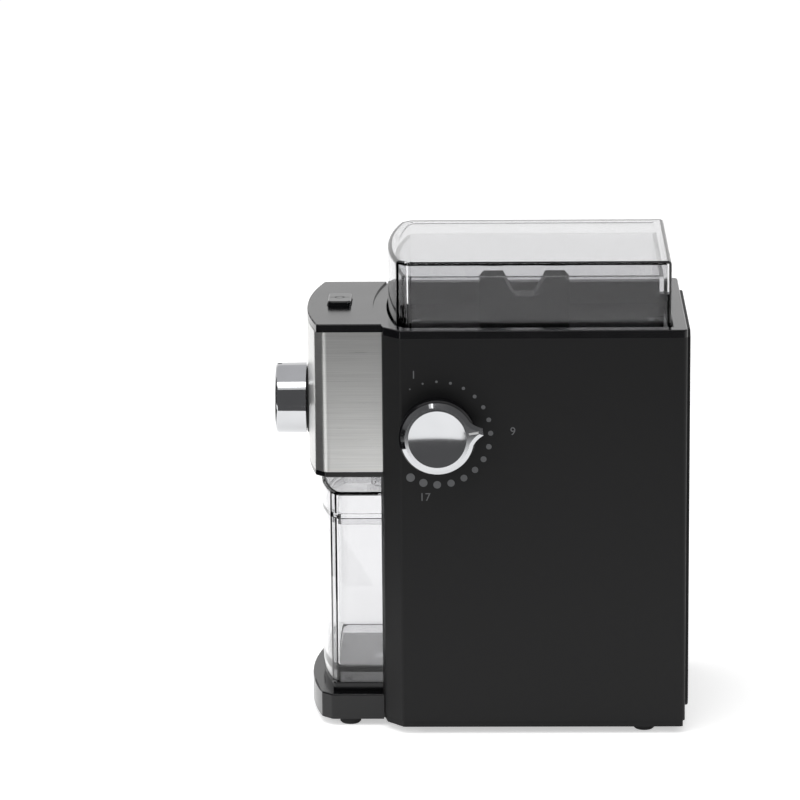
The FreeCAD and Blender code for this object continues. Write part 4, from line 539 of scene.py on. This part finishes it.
@dataclass
class Studio:
    """Plain pale floor, soft light and the photograph's viewpoint."""

    target: Vector = field(default_factory=lambda: Vector((33.8, 1.85, 111.5)) * MM)
    distance: float = 2244 * MM
    pitch: float = 15.0
    yaw: float = -0.64
    focal_px: float = 4196.0
    principal: tuple[float, float] = (546.0, 500.0)
    view_depth: float = 100.0
    floor_side: float = 14.0
    floor_glow: float = 0.5
    sky_light: float = 0.55
    lamp_aim: Vector = field(default_factory=lambda: Vector((0, 0, 0.12)))

    def camera(self) -> None:
        """Place the camera so that its middle is the middle of the photograph."""
        yaw, pitch = math.radians(self.yaw), math.radians(self.pitch)
        back = Vector((math.sin(yaw) * math.cos(pitch), -math.cos(yaw) * math.cos(pitch), math.sin(pitch)))
        right = (-back).cross(Vector((0, 0, 1))).normalized()
        up = right.cross(-back)
        middle = IMAGE_SIDE / 2
        aim = -back * self.focal_px + right * (middle - self.principal[0]) + up * (self.principal[1] - middle)
        aim.normalize()
        side = aim.cross(up).normalized()
        turn = Matrix((side, side.cross(aim), -aim)).transposed()
        lens = bpy.data.cameras.new("photo_camera")
        lens.sensor_width = SENSOR_MM
        lens.lens = self.focal_px / IMAGE_SIDE * SENSOR_MM
        lens.clip_end = self.view_depth
        camera = bpy.data.objects.new("photo_camera", lens)
        camera.matrix_world = Matrix.Translation(self.target + back * self.distance) @ turn.to_4x4()
        bpy.context.scene.collection.objects.link(camera)
        bpy.context.scene.camera = camera

    def seen(self, tree: bpy.types.NodeTree) -> bpy.types.NodeSocket:
        """Add the test for rays that see the background: from the camera, a mirror or a clear piece.

        Args:
            tree: The tree of the floor or the world.

        Returns:
            A socket that is 1 for those rays.
        """
        path = add_node(tree, "ShaderNodeLightPath")
        first = add_node(tree, "ShaderNodeMath", {"operation": "MAXIMUM"},
                         {0: path.outputs["Is Camera Ray"], 1: path.outputs["Is Glossy Ray"]})
        both = add_node(tree, "ShaderNodeMath", {"operation": "MAXIMUM"},
                        {0: first.outputs[0], 1: path.outputs["Is Transmission Ray"]})
        return both.outputs[0]

    def plane(self, name: str, corners: list[tuple[float, float, float]],
              material: bpy.types.Material) -> bpy.types.Object:
        """Add one flat stage piece.

        Args:
            name: Its name.
            corners: Its four corners, in order.
            material: Its material.

        Returns:
            The new object.
        """
        data = bpy.data.meshes.new(name)
        data.from_pydata(corners, [], [(0, 1, 2, 3)])
        data.materials.append(material)
        sheet = bpy.data.objects.new(name, data)
        bpy.context.scene.collection.objects.link(sheet)
        return sheet

    def floor(self) -> None:
        """Lay the pale floor."""
        white = blank_material("paper_white_sweep")
        tree = white.node_tree
        paper = add_node(tree, "ShaderNodeBsdfDiffuse", {"Color": linear("#f0f0f0")})
        lift = add_node(tree, "ShaderNodeMath", {"operation": "MULTIPLY", 1: self.floor_glow},
                        {0: self.seen(tree)})
        glow = add_node(tree, "ShaderNodeEmission", None, {"Strength": lift.outputs[0]})
        both = add_node(tree, "ShaderNodeAddShader", None, {0: paper.outputs[0], 1: glow.outputs[0]})
        add_node(tree, "ShaderNodeOutputMaterial", None, {"Surface": both.outputs[0]})
        half = self.floor_side / 2
        self.plane("floor", [(-half, -half, 0), (half, -half, 0), (half, half, 0), (-half, half, 0)], white)

    def card(self, name: str, colour: str, corners: list[tuple[float, float, float]]) -> None:
        """Set up a card that only polished pieces see, as the dark shapes of a studio are.

        Args:
            name: The card's name.
            colour: Its sRGB hex colour as it is seen in a mirror.
            corners: Its four corners, in order.
        """
        cloth = blank_material("felt_" + name)
        glow = add_node(cloth.node_tree, "ShaderNodeEmission", {"Color": linear(colour), "Strength": 1.0})
        add_node(cloth.node_tree, "ShaderNodeOutputMaterial", None, {"Surface": glow.outputs[0]})
        sheet = self.plane(name, corners, cloth)
        sheet.visible_camera = False
        sheet.visible_diffuse = False
        sheet.visible_transmission = False
        sheet.visible_shadow = False

    def wall(self, name: str, colour: str, start: tuple[float, float], end: tuple[float, float],
             height: tuple[float, float]) -> None:
        """Set up an upright card.

        Args:
            name: The card's name.
            colour: Its sRGB hex colour as it is seen in a mirror.
            start: Where its one upright edge is on the floor.
            end: Where its other upright edge is.
            height: The heights of its lower and upper edge.
        """
        low, high = height
        self.card(name, colour, [(*start, low), (*end, low), (*end, high), (*start, high)])

    def cards(self) -> None:
        """Set up the dark and grey shapes that the chrome, the steel and the gloss black reflect."""
        dark, black, grey = "#626263", "#1e1e1f", "#d8d8da"
        left, right, split, side = -1.6, 1.6, -0.15, -1.2
        front, near, back = -0.70, -0.29, 0.3
        low, mat_corner, mat_edge, flag_edge = 0.001, -0.065, -0.3, -0.27
        front_top, knob_top, left_top, side_top = 0.95, 0.75, 1.2, 1.6
        sky_front, sky_back, sky = -0.6, 2.2, 1.5
        # Between the two mats is bare floor, which shows as a bright strip on the steel's bend.
        gap_left, gap_right = (-1.22, -0.509), (-0.34, -0.19)
        self.wall("front_flag", dark, (split, front), (right, front), (0, front_top))
        self.wall("knob_flag", dark, (flag_edge, front), (split, front), (0, knob_top))
        self.wall("left_flag", dark, (left, front), (flag_edge, front), (0, left_top))
        self.wall("side_flag", black, (side, front), (side, back), (0, side_top))
        self.card("knob_mat", dark, [(gap_right[0], front, low), (split, front, low), (mat_corner, near, low),
                                     (gap_right[1], near, low)])
        self.card("left_mat", black, [(left, front, low), (gap_left[0], front, low), (gap_left[1], near, low),
                                      (left, near, low)])
        self.card("side_mat", black, [(side, near, low), (mat_edge, near, low), (mat_edge, back, low),
                                      (side, back, low)])
        self.card("ceiling", grey, [(left, sky_front, sky), (right, sky_front, sky), (right, sky_back, sky),
                                    (left, sky_back, sky)])

    def world(self) -> None:
        """Light everything softly, and show white where the background is seen."""
        world = bpy.data.worlds.new("studio")
        world.use_nodes = True
        tree = world.node_tree
        tree.nodes.clear()
        level = add_node(tree, "ShaderNodeMapRange", {"To Min": self.sky_light, "To Max": 1.0},
                         {"Value": self.seen(tree)})
        sky = add_node(tree, "ShaderNodeBackground", {"Color": linear("#ffffff")},
                       {"Strength": level.outputs["Result"]})
        add_node(tree, "ShaderNodeOutputWorld", None, {"Surface": sky.outputs["Background"]})
        bpy.context.scene.world = world

    def lamp(self, name: str, place: Vector, side: float, power: float) -> None:
        """Hang one soft box, turned to the object's middle.

        Args:
            name: The lamp's name.
            place: Where it hangs.
            side: The side of its square face, in metres.
            power: Its power in watts.
        """
        light = bpy.data.lights.new(name, "AREA")
        light.shape = "SQUARE"
        light.size = side
        light.energy = power
        box = bpy.data.objects.new(name, light)
        box.location = place
        box.rotation_euler = (self.lamp_aim - place).to_track_quat("-Z", "Y").to_euler()
        bpy.context.scene.collection.objects.link(box)

    def build(self) -> None:
        """Set up the camera, the floor, the cards, the world and the lamps."""
        bpy.context.scene.view_settings.view_transform = "Standard"
        self.camera()
        self.floor()
        self.cards()
        self.world()
        self.lamp("soft_box_top", place=Vector((-0.3, -0.3, 1.7)), side=1.4, power=16.0)
        self.lamp("soft_box_front", place=Vector((-1.6, -0.9, 0.9)), side=1.0, power=9.0)
        LOG.info("studio ready")


def sub_assemblies() -> list[SubAssembly]:
    """List the machine's sub-assemblies with the finish of every node.

    Returns:
        The sub-assemblies in the order they are dressed.
    """
    return [
        SubAssembly("casing", {"body_casing": TEXTURED_ABS, "bottom_plate": TEXTURED_ABS,
                               "dock_liner": TEXTURED_ABS, "rear_cover": TEXTURED_ABS,
                               "top_frame": POLISHED_ABS, "rubber_feet": RUBBER, "cord_gland": RUBBER,
                               "case_screws": ZINC_STEEL}),
        SubAssembly("base", {"base_tray": POLISHED_ABS, "base_plate": POLISHED_ABS,
                             "interlock_pin": POLISHED_ABS, "interlock_spring": SPRING_WIRE,
                             "interlock_switch": PHENOLIC}),
        SubAssembly("head", {"steel_wrap": BRUSHED_STAINLESS, "head_shell": INNER_ABS,
                             "head_cover": POLISHED_ABS, "head_floor": POLISHED_ABS, "chute": INNER_ABS}),
        SubAssembly("hopper", {"hopper": CLEAR_SAN, "hopper_lid": CLEAR_SAN, "hopper_seal": RUBBER}),
        SubAssembly("container", {"container": CLEAR_SAN, "container_lid": CLEAR_SAN}),
        Dial("dial", {"dial_knob": CHROME_PLATE, "dial_skirt": POLISHED_ABS, "dial_shaft": ACETAL,
                      "dial_cam": ACETAL, "dial_bush": INNER_ABS}),
        SubAssembly("portion", {"portion_knob": CHROME_PLATE, "portion_bezel": TEXTURED_ABS,
                                "timer_shaft": GROUND_STEEL, "timer_unit": ACETAL}),
        # The button's finish is a lighter copy of the polished black: painted highlight on its top.
        StartControl("start", {"start_button": POLISHED_ABS_LIT, "start_switch": PHENOLIC,
                               "button_spring": SPRING_WIRE}),
        SubAssembly("burrs", {"burr_carrier": TEXTURED_ABS, "upper_burr": GROUND_STEEL,
                              "lower_burr": GROUND_STEEL, "upper_burr_screws": ZINC_STEEL,
                              "lower_burr_screws": ZINC_STEEL, "impeller_disc": CAST_ALLOY,
                              "burr_nut": ZINC_STEEL, "lift_yoke": CAST_ALLOY, "grind_chamber": INNER_ABS}),
        SubAssembly("motor", {"motor_shaft": GROUND_STEEL, "armature": SHEET_STACK,
                              "commutator": TURNED_COPPER, "motor_stator": SHEET_STACK,
                              "stator_coils": WOUND_COPPER, "upper_bracket": CAST_ALLOY,
                              "lower_bracket": CAST_ALLOY, "upper_bearing": GROUND_STEEL,
                              "lower_bearing": GROUND_STEEL, "carbon_brushes": CARBON,
                              "brush_holders": DRAWN_BRASS, "cooling_fan": ACETAL, "motor_mounts": RUBBER,
                              "motor_screws": ZINC_STEEL}),
        SubAssembly("electrics", {"circuit_board": CIRCUIT_BOARD, "board_parts": PHENOLIC}),
    ]


def main() -> None:
    """Dress the frame, add the pieces and set up the studio."""
    for group in sub_assemblies():
        group.dress()
        group.build()
    CoilSpring("button_spring", "button").build()
    CoilSpring("interlock_spring", "interlock").build()
    Studio().build()


if __name__ == "__main__":
    main()
